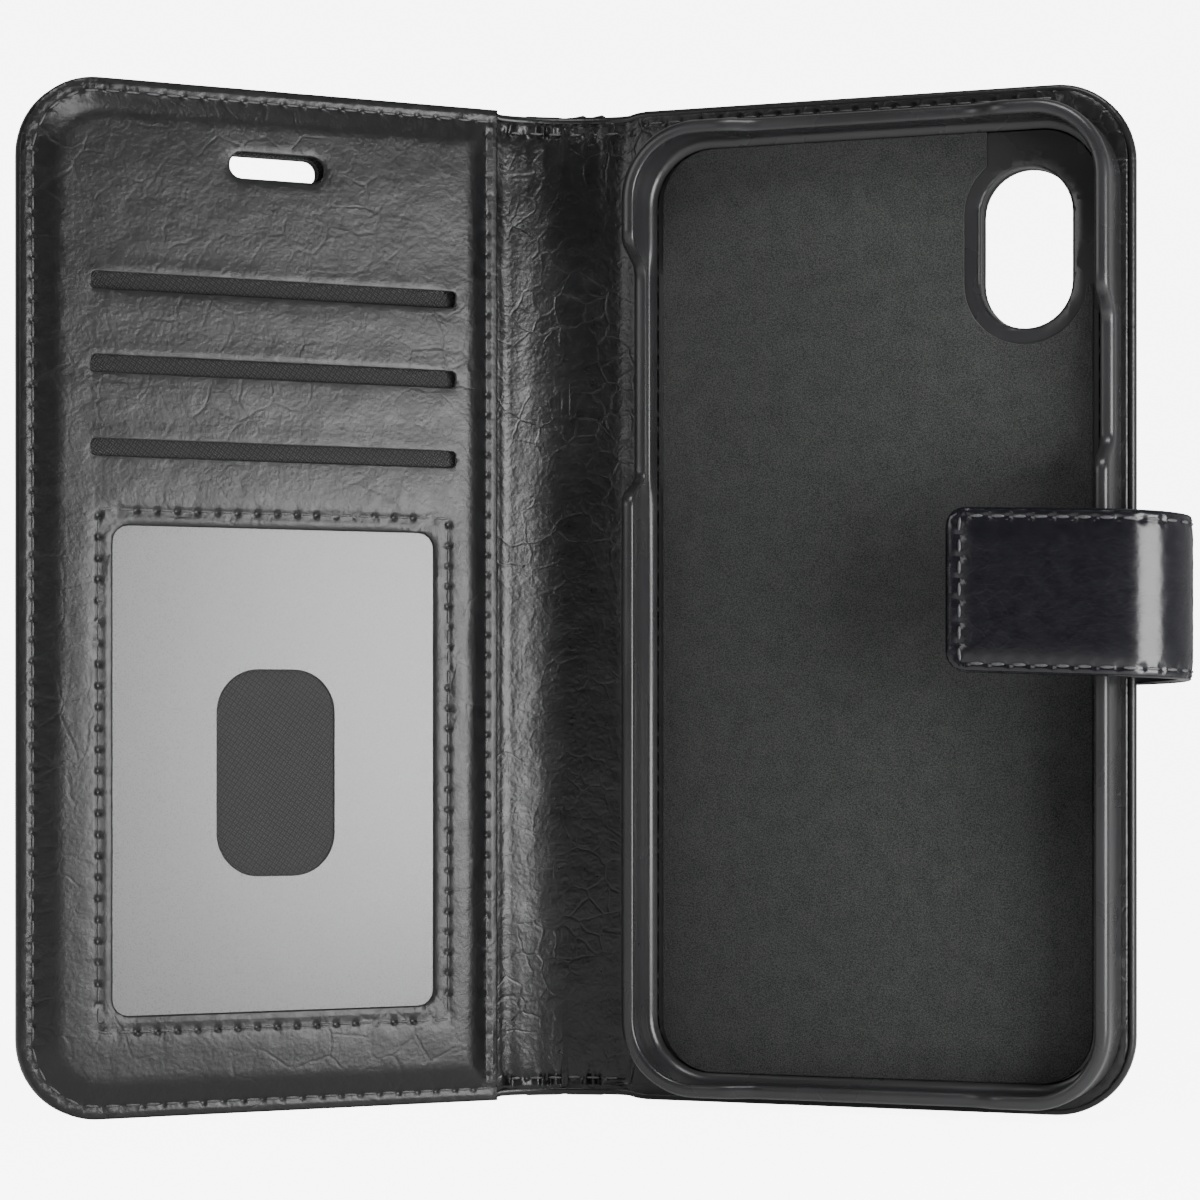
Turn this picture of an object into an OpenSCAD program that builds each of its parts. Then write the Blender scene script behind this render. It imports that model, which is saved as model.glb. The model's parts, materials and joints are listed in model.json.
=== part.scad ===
// Folio wallet case for a 5.8 inch phone, standing open like a book.
// The back cover is square to the axes: X to its free edge, Y to its outer face, Z up.
// The origin is in the middle of the back cover's lower edge. All sizes in millimetres.

/* [Phone] */
// Width of the phone that the tray grips
phone_w = 70.9; // [66:0.1:74]
// Height of the phone that the tray grips
phone_h = 143.6; // [138:0.1:146]
// Thickness of the phone
phone_t = 7.7; // [7:0.1:9]

/* [Covers] */
// Height of the covers and the spine
case_h = 152.7; // [150:0.1:156]
// Width of the back cover, from its fold edge to its free edge
back_l = 77.8; // [77:0.1:84]
// Width of the front cover, from its fold edge to its free edge
front_l = 75.2; // [75:0.1:80]
// Radius of the free corners of both covers
corner_r = 12; // [8:0.5:14]
// Thickness of one layer of leather
leather_t = 0.8; // [0.6:0.1:0.8]
// Total thickness of the back cover
back_t = 2.8; // [2.8:0.1:3.2]
// Total thickness of the front cover at its stitched edge
front_edge_t = 3.6; // [3.6:0.1:3.8]
// Total thickness of the front cover over the card pockets
front_mid_t = 5.0; // [5:0.1:5.2]

/* [Spine] */
// Length of the spine between its two folds, along its curve
spine_l = 18.6; // [17:0.1:21]
// Thickness of the spine
spine_t = 2.0; // [1.8:0.1:2]
// Angle that the front cover is raised from the back cover's plane
open_bend = 44; // [20:1:60]

/* [Card pockets] */
// Length of a card slot
slot_l = 57.2; // [56:0.2:60]
// Height of a card slot
slot_h = 2.4; // [2:0.1:3]
// Distance between two card slots
slot_pitch = 12.2; // [11:0.1:13]
// Width of the window
window_w = 50.4; // [48:0.2:54]
// Height of the window
window_h = 71.9; // [68:0.1:74]
// Width of the thumb hole in the window film
thumb_w = 18.6; // [16:0.2:20]
// Height of the thumb hole
thumb_h = 30.9; // [26:0.1:34]

/* [Phone shell] */
// Thickness of the shell's walls
wall_t = 1.6; // [1.2:0.1:1.6]
// Thickness of the shell's floor
floor_t = 1.5; // [1.2:0.1:1.6]
// Width of the camera window
camera_w = 13.8; // [10:0.2:14]
// Height of the camera window
camera_h = 23.9; // [20:0.1:25]

/* [Strap] */
// Width of the strap
strap_w = 23.8; // [20:0.2:26]
// Length of the flat closing tab
tab_l = 23.6; // [20:0.2:26]
// Thickness of the closing tab
tab_t = 2.4; // [2.4:0.1:2.6]
// Radius of the bend round the cover's edge
loop_r = 9.85; // [9.5:0.05:10.5]

/* [Stitching] */
// Distance between two stitches
stitch_pitch = 3.1; // [2.6:0.1:3.6]
// Distance of the seam from the edge
stitch_in = 2.0; // [1.6:0.1:2.4]

/* [Hidden] */
$fn = 64;

// Small overlap that keeps a cut clean, and a gap that keeps two pieces apart
over = 1;
gap = 0.1;

// Heights above the middle of the back cover's thickness, towards the phone
back_in = back_t / 2;
back_out = -back_t / 2;
front_edge_in = front_edge_t + back_out;
front_mid_in = front_mid_t + back_out;
board_top = back_in - leather_t;
leather_top = back_out + leather_t;

// Turned edge of the outer leathers, and the flange that reaches to a fold
rim_w = 1.0;
flange_l = 0.7;
flange_t = 1.0;

// Folds: distance from a cover's edge to the fold axis, and the spine's arc
fold_in = 2.2;
back_edge_x = -back_l / 2;
fold_x = back_edge_x - fold_in;
spine_r = spine_l / (open_bend * PI / 180);
spine_cut = 0.5;
spine_past_fold = 0.8;
fold_turn = spine_past_fold / spine_r * 180 / PI;
front_fold = [fold_x - spine_r * sin(open_bend), spine_r * (1 - cos(open_bend))];
front_edge = [
    front_fold[0] - fold_in * cos(open_bend),
    front_fold[1] + fold_in * sin(open_bend)
];

// Front cover stack: board, lining, three pockets, window sheets, facing
front_board_t = 1.2;
front_lining_t = 0.2;
pocket_t = 0.46;
pocket_step = 0.5;
pocket_ply = 0.17;
pocket_margin = 1.2;
pocket_depth = 84;
id_backing_t = 0.15;
film_t = 0.25;
lining_top = leather_top + front_board_t + front_lining_t;
pockets_low = lining_top + 0.05;
film_top = front_mid_in - leather_t;
plateau_in = 4.6;
hollow_in = 5.6;
field_x = 36.3;
slot_top_v = 122.8;
window_v = 51.1;
thumb_v = 50.7;
window_r = 2.4;
film_margin = 2.4;
thumb_r = 6.5;
window_seam = 2.3;
speaker_l = 14.8;
speaker_h = 3.8;
speaker_v = 141;
plate = [12, 30, 0.5];
plate_in = 20;

// Shell: cavity for the phone, lip over its edge, cut-outs in the walls
clearance = 0.2;
adhesive_t = 0.2;
liner_t = 0.4;
cavity = [phone_w + 2 * clearance, phone_h + 2 * clearance];
cavity_r = 10;
shell = [cavity[0] + 2 * wall_t, cavity[1] + 2 * wall_t];
shell_c = [-0.2, 1.7 + shell[1] / 2];
shell_low = back_in + adhesive_t;
shell_floor = shell_low + floor_t;
lip = 0.5;
lip_t = 1.0;
shell_top = shell_floor + liner_t + phone_t + lip_t;
end_drop = 1.6;
end_corner = 16;
camera_c = [23.0, 128.5];
camera_ring = 2.4;
volume_v = [92, 131.4];
volume_low = shell_top - 6;
power_v = [95.4, 121.4];
power_low = shell_top - 4.5;
key_slope = 3.4;
liner_in = [2.4, 1.5];
liner_r = 8;

// Strap: bend round the free edge, hinge lines at its two ends
strap_v = case_h / 2;
bridge_t = 1.8;
bridge_c = [38.0, loop_r];
bridge_a = 14.1;
anchor_l = 12;
anchor_t = 0.6;
anchor_end = back_l / 2 + 0.3;
tab_mid = 2 * loop_r;
tab_x = bridge_c[0] + 0.4;
tab_r = 3;
core_in = 1.6;
magnet_r = 4.5;
magnet_pitch = 11.4;
strap_seam = 1.3;

// Threads
thread_w = 0.5;
thread_h = 0.3;
stitch_l = 2.2;

// ---- placing ----

// Lays a flat drawing (x across, y up, z towards the reader) into the back cover's plane
module on_back() {
    rotate([90, 0, 0]) children();
}

// The same for the front cover, whose x is negative away from its fold edge
module on_front() {
    translate([front_edge[0], -front_edge[1], 0])
        rotate([90, 0, open_bend]) children();
}

// Plate between two heights
module layer(low, high) {
    translate([0, 0, low]) linear_extrude(high - low) children();
}

// ---- outlines ----

// Cover outline from x = 0 at the fold, free corners rounded, inset on all sides
module cover_plan(len, inset = 0) {
    r = max(corner_r - inset, 1);
    l = len - inset;
    h = case_h - 2 * inset;
    translate([inset, inset]) {
        square([l - inset - r, h]);
        translate([0, r]) square([l - inset, h - 2 * r]);
        translate([l - inset - r, r]) circle(r);
        translate([l - inset - r, h - r]) circle(r);
    }
}

module back_plan(inset = 0) {
    translate([back_edge_x, 0]) cover_plan(back_l, inset);
}

module front_plan(inset = 0) {
    mirror([1, 0]) cover_plan(front_l, inset);
}

// Rectangle with four round corners, about its centre
module round_plan(w, h, r) {
    square([w - 2 * r, h], center = true);
    square([w, h - 2 * r], center = true);
    for (x = [-1, 1], y = [-1, 1])
        translate([x * (w / 2 - r), y * (h / 2 - r)]) circle(r);
}

// Slot with full round ends lying across
module slot_plan(l, h) {
    square([l - h, h], center = true);
    for (x = [-1, 1]) translate([x * (l - h) / 2, 0]) circle(h / 2);
}

module camera_plan(grow = 0) {
    translate(camera_c) rotate(90) slot_plan(camera_h + 2 * grow, camera_w + 2 * grow);
}

// ---- stitches ----

// One stitch along x, lying on the plane z = 0
module stitch() {
    translate([-stitch_l / 2, -thread_w / 2, 0]) cube([stitch_l, thread_w, thread_h]);
}

// Straight row of stitches from one point to another
module stitch_line(from, to) {
    run = norm(to - from);
    count = max(round(run / stitch_pitch), 1);
    turn = atan2(to[1] - from[1], to[0] - from[0]);
    translate([from[0], from[1], 0]) rotate(turn)
        for (i = [0 : count - 1]) translate([(i + 0.5) * run / count, 0, 0]) stitch();
}

// Row of stitches round an arc
module stitch_arc(centre, r, a0, a1) {
    run = r * abs(a1 - a0) * PI / 180;
    count = max(round(run / stitch_pitch), 1);
    for (i = [0 : count - 1])
        translate([centre[0], centre[1], 0])
            rotate(a0 + (i + 0.5) * (a1 - a0) / count)
                translate([r, 0, 0]) rotate(90) stitch();
}

// Seam round the three free sides of a cover
module cover_seam(len) {
    r = corner_r - stitch_in;
    low = stitch_in;
    high = case_h - stitch_in;
    far = len - stitch_in;
    stitch_line([1, low], [far - r, low]);
    stitch_line([1, high], [far - r, high]);
    stitch_line([far, low + r], [far, high - r]);
    stitch_arc([far - r, low + r], r, -90, 0);
    stitch_arc([far - r, high - r], r, 0, 90);
}

// ---- front cover ----

module front_leather() {
    color([0.06, 0.06, 0.065]) on_front() {
        difference() {
            layer(back_out, front_edge_in - leather_t) front_plan();
            layer(leather_top, front_edge_in) front_plan(rim_w);
            speaker_hole();
        }
        fold_flange();
    }
}

// Thin edge that carries the leather on towards the spine
module fold_flange() {
    translate([0, 0, -flange_t / 2]) cube([flange_l, case_h, flange_t]);
}

module speaker_hole() {
    translate([-field_x, speaker_v]) layer(back_out - over, front_mid_in + over)
        slot_plan(speaker_l, speaker_h);
}

module front_board() {
    color([0.55, 0.5, 0.43]) on_front() difference() {
        layer(leather_top, leather_top + front_board_t) front_plan(rim_w + gap);
        speaker_hole();
        translate([0, 0, -over]) plate_body(plate[2] + gap + over, gap);
    }
}

// Steel plate set into the board's outer side, centred on the strap's height
module plate_body(t, grow) {
    translate([-front_l + plate_in - plate[0] / 2 - grow, strap_v - plate[1] / 2 - grow, leather_top])
        cube([plate[0] + 2 * grow, plate[1] + 2 * grow, t]);
}

module closure_plate() {
    color([0.6, 0.6, 0.62]) on_front() plate_body(plate[2], 0);
}

module front_lining() {
    color([0.16, 0.16, 0.17]) on_front() difference() {
        layer(lining_top - front_lining_t, lining_top) front_plan(rim_w + gap);
        speaker_hole();
    }
}

// Folded woven bag behind one slot, open at the top. level counts from the board outwards
module card_pocket(level) {
    w = slot_l + 2 * pocket_margin;
    top = slot_top_v - level * slot_pitch + slot_h / 2 + 0.6;
    low = pockets_low + level * pocket_step;
    on_front() difference() {
        translate([-field_x - w / 2, top - pocket_depth, low]) cube([w, pocket_depth, pocket_t]);
        translate([-field_x - w / 2 + 0.6, top - pocket_depth + 0.6, low + pocket_ply])
            cube([w - 1.2, pocket_depth, pocket_t - 2 * pocket_ply]);
    }
}

module card_pocket_top() {
    color([0.14, 0.14, 0.15]) card_pocket(0);
}

module card_pocket_middle() {
    color([0.15, 0.15, 0.16]) card_pocket(1);
}

module card_pocket_bottom() {
    color([0.16, 0.16, 0.17]) card_pocket(2);
}

module window_sheet(low, high, margin) {
    translate([-field_x, window_v]) layer(low, high)
        square([window_w + 2 * margin, window_h + 2 * margin], center = true);
}

module id_backing() {
    color([0.17, 0.17, 0.18]) on_front()
        window_sheet(film_top - film_t - id_backing_t - gap / 2, film_top - film_t - gap / 2, 3);
}

module id_window_film() {
    color([0.78, 0.78, 0.8, 0.6]) on_front() difference() {
        window_sheet(film_top - film_t, film_top, film_margin);
        translate([-field_x, thumb_v]) layer(0, front_mid_in)
            round_plan(thumb_w, thumb_h, thumb_r);
    }
}

module pocket_panel() {
    color([0.08, 0.08, 0.085]) on_front() difference() {
        union() {
            layer(front_edge_in - leather_t, front_edge_in) front_plan();
            layer(front_edge_in - leather_t, front_mid_in) front_plan(plateau_in);
        }
        layer(front_edge_in - leather_t - over, film_top) front_plan(hollow_in);
        speaker_hole();
        for (i = [0 : 2])
            translate([-field_x, slot_top_v - i * slot_pitch]) layer(film_top - over, front_mid_in + over)
                slot_plan(slot_l, slot_h);
        translate([-field_x, window_v]) layer(film_top - over, front_mid_in + over)
            round_plan(window_w, window_h, window_r);
    }
}

module window_stitching() {
    w = window_w / 2 + window_seam;
    h = window_h / 2 + window_seam;
    color([0.03, 0.03, 0.03]) on_front() translate([-field_x, window_v, front_mid_in]) {
        for (s = [-1, 1]) {
            stitch_line([-w, s * h], [w, s * h]);
            stitch_line([s * w, -h], [s * w, h]);
        }
    }
}

module front_stitching() {
    color([0.03, 0.03, 0.03]) on_front()
        translate([0, 0, front_edge_in]) mirror([1, 0, 0]) cover_seam(front_l);
}

module seam_stitching() {
    color([0.03, 0.03, 0.03]) on_front()
        translate([0, 0, front_edge_in])
            stitch_line([-stitch_in, 2 * stitch_in], [-stitch_in, case_h - 2 * stitch_in]);
}

// ---- spine ----

// Sheet between two heights that follows the spine's arc; turn shortens it at both folds
module spine_sheet(low, high, cut = 0, turn = 0) {
    translate([fold_x, -spine_r, 0]) rotate([0, 0, 90 + turn])
        rotate_extrude(angle = open_bend - 2 * turn)
            translate([spine_r - high, cut]) square([high - low, case_h - 2 * cut]);
}

module spine_leather() {
    color([0.06, 0.06, 0.065])
        spine_sheet(-spine_t / 2, -spine_t / 2 + leather_t, spine_cut, -fold_turn);
}

module spine_interlining() {
    t = spine_t / 2 - leather_t - gap / 2;
    color([0.4, 0.4, 0.4]) spine_sheet(-t, t, 2 * spine_cut, 2);
}

module spine_lining() {
    color([0.07, 0.07, 0.075])
        spine_sheet(spine_t / 2 - leather_t, spine_t / 2, spine_cut, -fold_turn);
}

module spine_stitching() {
    count = round(spine_l / stitch_pitch);
    color([0.03, 0.03, 0.03])
        for (i = [0 : count - 1], v = [stitch_in + spine_cut, case_h - stitch_in - spine_cut])
            translate([fold_x, -spine_r, v]) rotate([0, 0, 90 + (i + 0.5) * open_bend / count])
                translate([spine_r - spine_t / 2 - thread_h / 2, 0, 0])
                    cube([thread_h, stitch_l, thread_w], center = true);
}

// ---- back cover ----

module camera_hole() {
    layer(back_out - over, shell_top) camera_plan();
}

module back_leather() {
    color([0.06, 0.06, 0.065]) on_back() {
        difference() {
            layer(back_out, back_in) back_plan();
            layer(leather_top, back_in + over) back_plan(rim_w);
            camera_hole();
            anchor_body(gap);
        }
        translate([back_edge_x, 0, 0]) mirror([1, 0, 0]) fold_flange();
    }
}

// Flat tongue of the strap's root, from inside the cover to just outside its edge
module anchor_body(grow) {
    translate([anchor_end - anchor_l - grow, strap_v - strap_w / 2 - grow, board_top - anchor_t - grow])
        cube([anchor_l + 2 * grow, strap_w + 2 * grow, anchor_t + 2 * grow]);
}

module back_board() {
    color([0.55, 0.5, 0.43]) on_back() difference() {
        layer(leather_top, board_top) back_plan(rim_w + gap);
        camera_hole();
        anchor_body(gap);
    }
}

module back_lining() {
    color([0.07, 0.07, 0.075]) on_back() difference() {
        layer(board_top, back_in) back_plan(rim_w + gap);
        camera_hole();
    }
}

module back_stitching() {
    color([0.03, 0.03, 0.03]) on_back()
        translate([back_edge_x, stitch_in, back_in]) {
            stitch_line([4, case_h - 2 * stitch_in], [back_l - corner_r, case_h - 2 * stitch_in]);
        }
}

module shell_adhesive() {
    color([0.8, 0.8, 0.7]) on_back() difference() {
        translate(shell_c) layer(back_in, shell_low) round_plan(cavity[0] - 6, cavity[1] - 6, 7);
        layer(0, shell_top) camera_plan(1);
    }
}

// Cut-out with sloped ends through a side wall, between two heights up the case
module key_cut(x, span, low) {
    translate([x - 4, 0, 0]) rotate([90, 0, 90]) linear_extrude(8) polygon([
        [span[0] + key_slope, low],
        [span[1] - key_slope, low],
        [span[1], shell_top + over],
        [span[0], shell_top + over]
    ]);
}

module phone_shell() {
    low_wall = shell[0] - 2 * end_corner;
    color([0.12, 0.12, 0.125]) on_back() difference() {
        translate(shell_c) difference() {
            layer(shell_low, shell_top) round_plan(shell[0], shell[1], cavity_r + wall_t);
            layer(shell_floor, shell_top - lip_t) round_plan(cavity[0], cavity[1], cavity_r);
            layer(shell_floor, shell_top + over)
                round_plan(cavity[0] - 2 * lip, cavity[1] - 2 * lip, cavity_r - lip);
            translate([-low_wall / 2, -shell[1] / 2 - over, shell_top - end_drop])
                cube([low_wall, shell[1] + 2 * over, end_drop + over]);
        }
        camera_hole();
        key_cut(shell_c[0] - shell[0] / 2, volume_v, volume_low);
        key_cut(shell_c[0] + shell[0] / 2, power_v, power_low);
    }
}

module shell_liner() {
    color([0.18, 0.2, 0.19]) on_back() difference() {
        translate(shell_c) layer(shell_floor, shell_floor + liner_t)
            round_plan(cavity[0] - 2 * liner_in[0], cavity[1] - 2 * liner_in[1], liner_r);
        layer(shell_floor - over, shell_top) {
            camera_plan(camera_ring);
            translate(camera_c + [0, -camera_h / 4]) square([shell[0], shell[1]]);
            translate(camera_c + [-camera_w / 2 + 1, 2]) square([shell[0], shell[1]]);
        }
    }
}

// ---- strap ----

module strap_anchor() {
    color([0.07, 0.07, 0.075]) on_back() anchor_body(0);
}

// Part of the strap that bends round the free edge, between two radii
module bridge_band(r_in, r_out, w) {
    turn = 90 - bridge_a;
    translate([bridge_c[0], -bridge_c[1], strap_v - w / 2])
        rotate([0, 0, -turn]) rotate_extrude(angle = 2 * turn)
            translate([r_in, 0]) square([r_out - r_in, w]);
}

module strap_bridge_outer() {
    color([0.08, 0.08, 0.085]) bridge_band(loop_r, loop_r + bridge_t / 2, strap_w);
}

module strap_bridge_inner() {
    color([0.09, 0.09, 0.095]) bridge_band(loop_r - bridge_t / 2, loop_r, strap_w);
}

module strap_bridge_stitching() {
    turn = 90 - bridge_a;
    r = loop_r + bridge_t / 2;
    count = round(r * 2 * turn * PI / 180 / stitch_pitch);
    color([0.03, 0.03, 0.03])
        for (i = [1 : count - 1], s = [-1, 1])
            translate([bridge_c[0], -bridge_c[1], strap_v + s * (strap_w / 2 - strap_seam)])
                rotate([0, 0, -turn + (i + 0.5) * 2 * turn / count])
                    translate([r, -stitch_l / 2, -thread_w / 2])
                        cube([thread_h, stitch_l, thread_w]);
}

// Tab outline: square at the bend, rounded at the free end
module tab_plan(inset = 0) {
    r = tab_r - inset / 2;
    l = tab_l - inset;
    w = strap_w - 2 * inset;
    translate([tab_x, strap_v]) mirror([1, 0]) {
        translate([0, -w / 2]) square([l - r, w]);
        translate([0, -w / 2 + r]) square([l, w - 2 * r]);
        for (s = [-1, 1]) translate([l - r, s * (w / 2 - r)]) circle(r);
    }
}

module strap_tab_outer() {
    low = tab_mid + tab_t / 2 - leather_t;
    color([0.08, 0.08, 0.085]) on_back() layer(low, tab_mid + tab_t / 2) tab_plan();
}

module strap_tab_inner() {
    low = tab_mid - tab_t / 2;
    color([0.09, 0.09, 0.095]) on_back() difference() {
        layer(low, tab_mid + tab_t / 2 - leather_t) tab_plan();
        layer(low + leather_t, tab_mid + tab_t / 2) tab_plan(core_in);
    }
}

module magnet_pair(low, high, grow) {
    for (s = [-1, 1])
        translate([tab_x - tab_l * 0.52, strap_v + s * magnet_pitch / 2]) layer(low, high)
            circle(magnet_r + grow);
}

module strap_core() {
    low = tab_mid - tab_t / 2 + leather_t;
    high = tab_mid + tab_t / 2 - leather_t;
    color([0.5, 0.5, 0.5]) on_back() difference() {
        layer(low, high) tab_plan(core_in + gap);
        magnet_pair(low - over, high + over, gap);
    }
}

module strap_magnets() {
    low = tab_mid - tab_t / 2 + leather_t;
    high = tab_mid + tab_t / 2 - leather_t;
    color([0.65, 0.65, 0.67]) on_back() magnet_pair(low, high, 0);
}

module strap_stitching() {
    far = tab_x - tab_l + strap_seam + 0.6;
    near = tab_x - 1;
    w = strap_w / 2 - strap_seam;
    color([0.03, 0.03, 0.03]) on_back() translate([0, strap_v, tab_mid + tab_t / 2]) {
        for (s = [-1, 1]) stitch_line([near, s * w], [far + 1.5, s * w]);
        stitch_line([far, -w + 1.5], [far, w - 1.5]);
    }
}

front_leather();
front_board();
closure_plate();
front_lining();
card_pocket_top();
card_pocket_middle();
card_pocket_bottom();
id_backing();
id_window_film();
pocket_panel();
window_stitching();
front_stitching();
seam_stitching();
spine_leather();
spine_interlining();
spine_lining();
spine_stitching();
back_leather();
back_board();
back_lining();
back_stitching();
shell_adhesive();
phone_shell();
shell_liner();
strap_anchor();
strap_bridge_outer();
strap_bridge_inner();
strap_bridge_stitching();
strap_tab_outer();
strap_tab_inner();
strap_core();
strap_magnets();
strap_stitching();
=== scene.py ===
import json
import math

import bmesh
import bpy
import numpy as np
from mathutils import Matrix, Vector, noise
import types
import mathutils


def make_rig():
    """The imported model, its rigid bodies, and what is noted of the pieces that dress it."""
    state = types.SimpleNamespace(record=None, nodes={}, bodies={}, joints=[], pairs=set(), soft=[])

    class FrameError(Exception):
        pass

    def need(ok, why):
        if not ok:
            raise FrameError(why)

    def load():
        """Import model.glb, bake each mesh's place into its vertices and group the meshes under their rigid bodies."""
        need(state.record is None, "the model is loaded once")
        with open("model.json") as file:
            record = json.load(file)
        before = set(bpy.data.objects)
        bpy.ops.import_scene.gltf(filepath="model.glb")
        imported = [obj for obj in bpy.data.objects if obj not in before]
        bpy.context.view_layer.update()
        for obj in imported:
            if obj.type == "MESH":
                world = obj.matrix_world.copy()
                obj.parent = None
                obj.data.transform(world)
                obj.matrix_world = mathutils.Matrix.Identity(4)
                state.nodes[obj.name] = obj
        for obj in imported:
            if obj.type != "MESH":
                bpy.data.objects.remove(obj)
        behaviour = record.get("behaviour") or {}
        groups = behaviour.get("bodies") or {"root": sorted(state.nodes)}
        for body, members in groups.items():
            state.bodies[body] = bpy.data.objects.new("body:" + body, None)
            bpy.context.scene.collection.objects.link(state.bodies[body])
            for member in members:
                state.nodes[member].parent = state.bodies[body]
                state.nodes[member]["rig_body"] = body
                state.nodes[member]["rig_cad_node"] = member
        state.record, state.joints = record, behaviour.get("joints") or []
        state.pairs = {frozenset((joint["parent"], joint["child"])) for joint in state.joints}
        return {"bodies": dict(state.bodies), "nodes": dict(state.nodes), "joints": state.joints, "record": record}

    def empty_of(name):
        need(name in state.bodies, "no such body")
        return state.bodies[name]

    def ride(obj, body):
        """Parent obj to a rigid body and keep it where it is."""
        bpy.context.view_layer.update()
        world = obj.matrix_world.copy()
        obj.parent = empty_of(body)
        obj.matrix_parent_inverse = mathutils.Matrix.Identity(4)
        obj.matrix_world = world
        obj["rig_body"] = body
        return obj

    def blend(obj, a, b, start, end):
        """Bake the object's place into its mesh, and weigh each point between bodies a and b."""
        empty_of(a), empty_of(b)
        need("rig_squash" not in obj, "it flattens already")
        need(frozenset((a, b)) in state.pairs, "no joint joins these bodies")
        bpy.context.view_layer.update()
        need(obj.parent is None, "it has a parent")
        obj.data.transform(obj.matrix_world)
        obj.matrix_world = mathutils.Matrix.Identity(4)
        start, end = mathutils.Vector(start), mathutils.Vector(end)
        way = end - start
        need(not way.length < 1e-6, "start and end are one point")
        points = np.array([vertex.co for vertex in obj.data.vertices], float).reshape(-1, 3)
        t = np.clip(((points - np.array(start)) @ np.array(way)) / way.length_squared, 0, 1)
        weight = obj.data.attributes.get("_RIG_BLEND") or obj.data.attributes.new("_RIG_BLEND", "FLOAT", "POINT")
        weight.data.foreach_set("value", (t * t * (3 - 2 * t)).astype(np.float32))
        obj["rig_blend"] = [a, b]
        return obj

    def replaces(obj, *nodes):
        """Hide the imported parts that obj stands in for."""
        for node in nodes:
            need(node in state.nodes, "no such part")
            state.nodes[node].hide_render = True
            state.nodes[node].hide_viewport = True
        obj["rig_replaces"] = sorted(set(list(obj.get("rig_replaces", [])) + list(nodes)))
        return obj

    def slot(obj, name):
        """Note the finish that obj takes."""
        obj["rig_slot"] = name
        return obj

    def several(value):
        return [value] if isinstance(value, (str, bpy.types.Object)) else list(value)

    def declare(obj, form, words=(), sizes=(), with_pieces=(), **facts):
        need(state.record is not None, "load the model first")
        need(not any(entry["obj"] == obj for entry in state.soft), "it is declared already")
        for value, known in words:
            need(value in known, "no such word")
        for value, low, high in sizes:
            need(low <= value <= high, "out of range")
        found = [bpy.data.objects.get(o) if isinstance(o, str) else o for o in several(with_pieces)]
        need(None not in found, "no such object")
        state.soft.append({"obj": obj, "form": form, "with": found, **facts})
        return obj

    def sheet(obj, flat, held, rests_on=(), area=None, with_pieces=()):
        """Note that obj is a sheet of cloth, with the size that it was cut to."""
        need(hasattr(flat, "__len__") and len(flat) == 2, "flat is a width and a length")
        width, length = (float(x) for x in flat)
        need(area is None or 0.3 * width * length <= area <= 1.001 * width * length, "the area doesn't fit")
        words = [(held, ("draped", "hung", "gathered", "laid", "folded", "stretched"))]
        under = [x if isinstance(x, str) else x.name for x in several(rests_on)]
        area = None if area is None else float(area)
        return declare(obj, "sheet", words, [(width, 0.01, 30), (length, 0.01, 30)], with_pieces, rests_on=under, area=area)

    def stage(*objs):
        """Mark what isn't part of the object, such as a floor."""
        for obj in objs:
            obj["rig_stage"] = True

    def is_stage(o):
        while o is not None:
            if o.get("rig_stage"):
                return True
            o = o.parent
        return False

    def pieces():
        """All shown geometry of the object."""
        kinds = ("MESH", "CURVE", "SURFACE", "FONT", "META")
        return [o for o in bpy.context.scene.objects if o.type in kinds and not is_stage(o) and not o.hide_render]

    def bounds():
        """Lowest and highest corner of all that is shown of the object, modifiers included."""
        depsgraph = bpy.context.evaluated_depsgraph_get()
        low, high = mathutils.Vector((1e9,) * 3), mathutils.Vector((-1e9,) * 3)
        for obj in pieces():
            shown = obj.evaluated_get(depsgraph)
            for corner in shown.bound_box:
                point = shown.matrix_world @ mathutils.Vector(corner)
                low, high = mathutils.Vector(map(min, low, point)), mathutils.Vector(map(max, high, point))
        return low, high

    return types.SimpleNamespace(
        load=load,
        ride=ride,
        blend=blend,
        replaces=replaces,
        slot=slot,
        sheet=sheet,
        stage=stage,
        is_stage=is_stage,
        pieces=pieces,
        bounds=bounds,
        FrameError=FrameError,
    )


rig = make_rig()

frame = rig.load()
CAD_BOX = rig.bounds()

# ---- places: the folds, the covers' own frames and the sizes of the CAD nodes ----

MM = 0.001
JOINTS = {j["name"]: Vector(j["pos_m"]) for j in frame["joints"]}
BACK_FOLD, FRONT_FOLD = JOINTS["back_fold"], JOINTS["front_fold"]
BEND = 2 * math.atan2(BACK_FOLD.y - FRONT_FOLD.y, BACK_FOLD.x - FRONT_FOLD.x)
FOLD_IN = 2.2  # from a cover's edge to its fold axis

# Cover frames: x across, y up, z out of the leather towards the phone, in millimetres
UPRIGHT = Matrix.Rotation(math.pi / 2, 4, "X") @ Matrix.Scale(MM, 4)
ON_BACK = UPRIGHT
ON_FRONT = (
    Matrix.Translation((
        FRONT_FOLD.x - FOLD_IN * MM * math.cos(BEND),
        FRONT_FOLD.y - FOLD_IN * MM * math.sin(BEND),
        0,
    ))
    @ Matrix.Rotation(BEND, 4, "Z")
    @ UPRIGHT
)


def span(node, place):
    """Lowest and highest corner of a CAD node in a cover's own frame."""
    back = place.inverted()
    points = np.array([back @ v.co for v in frame["nodes"][node].data.vertices])
    return Vector(points.min(0)), Vector(points.max(0))


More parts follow.
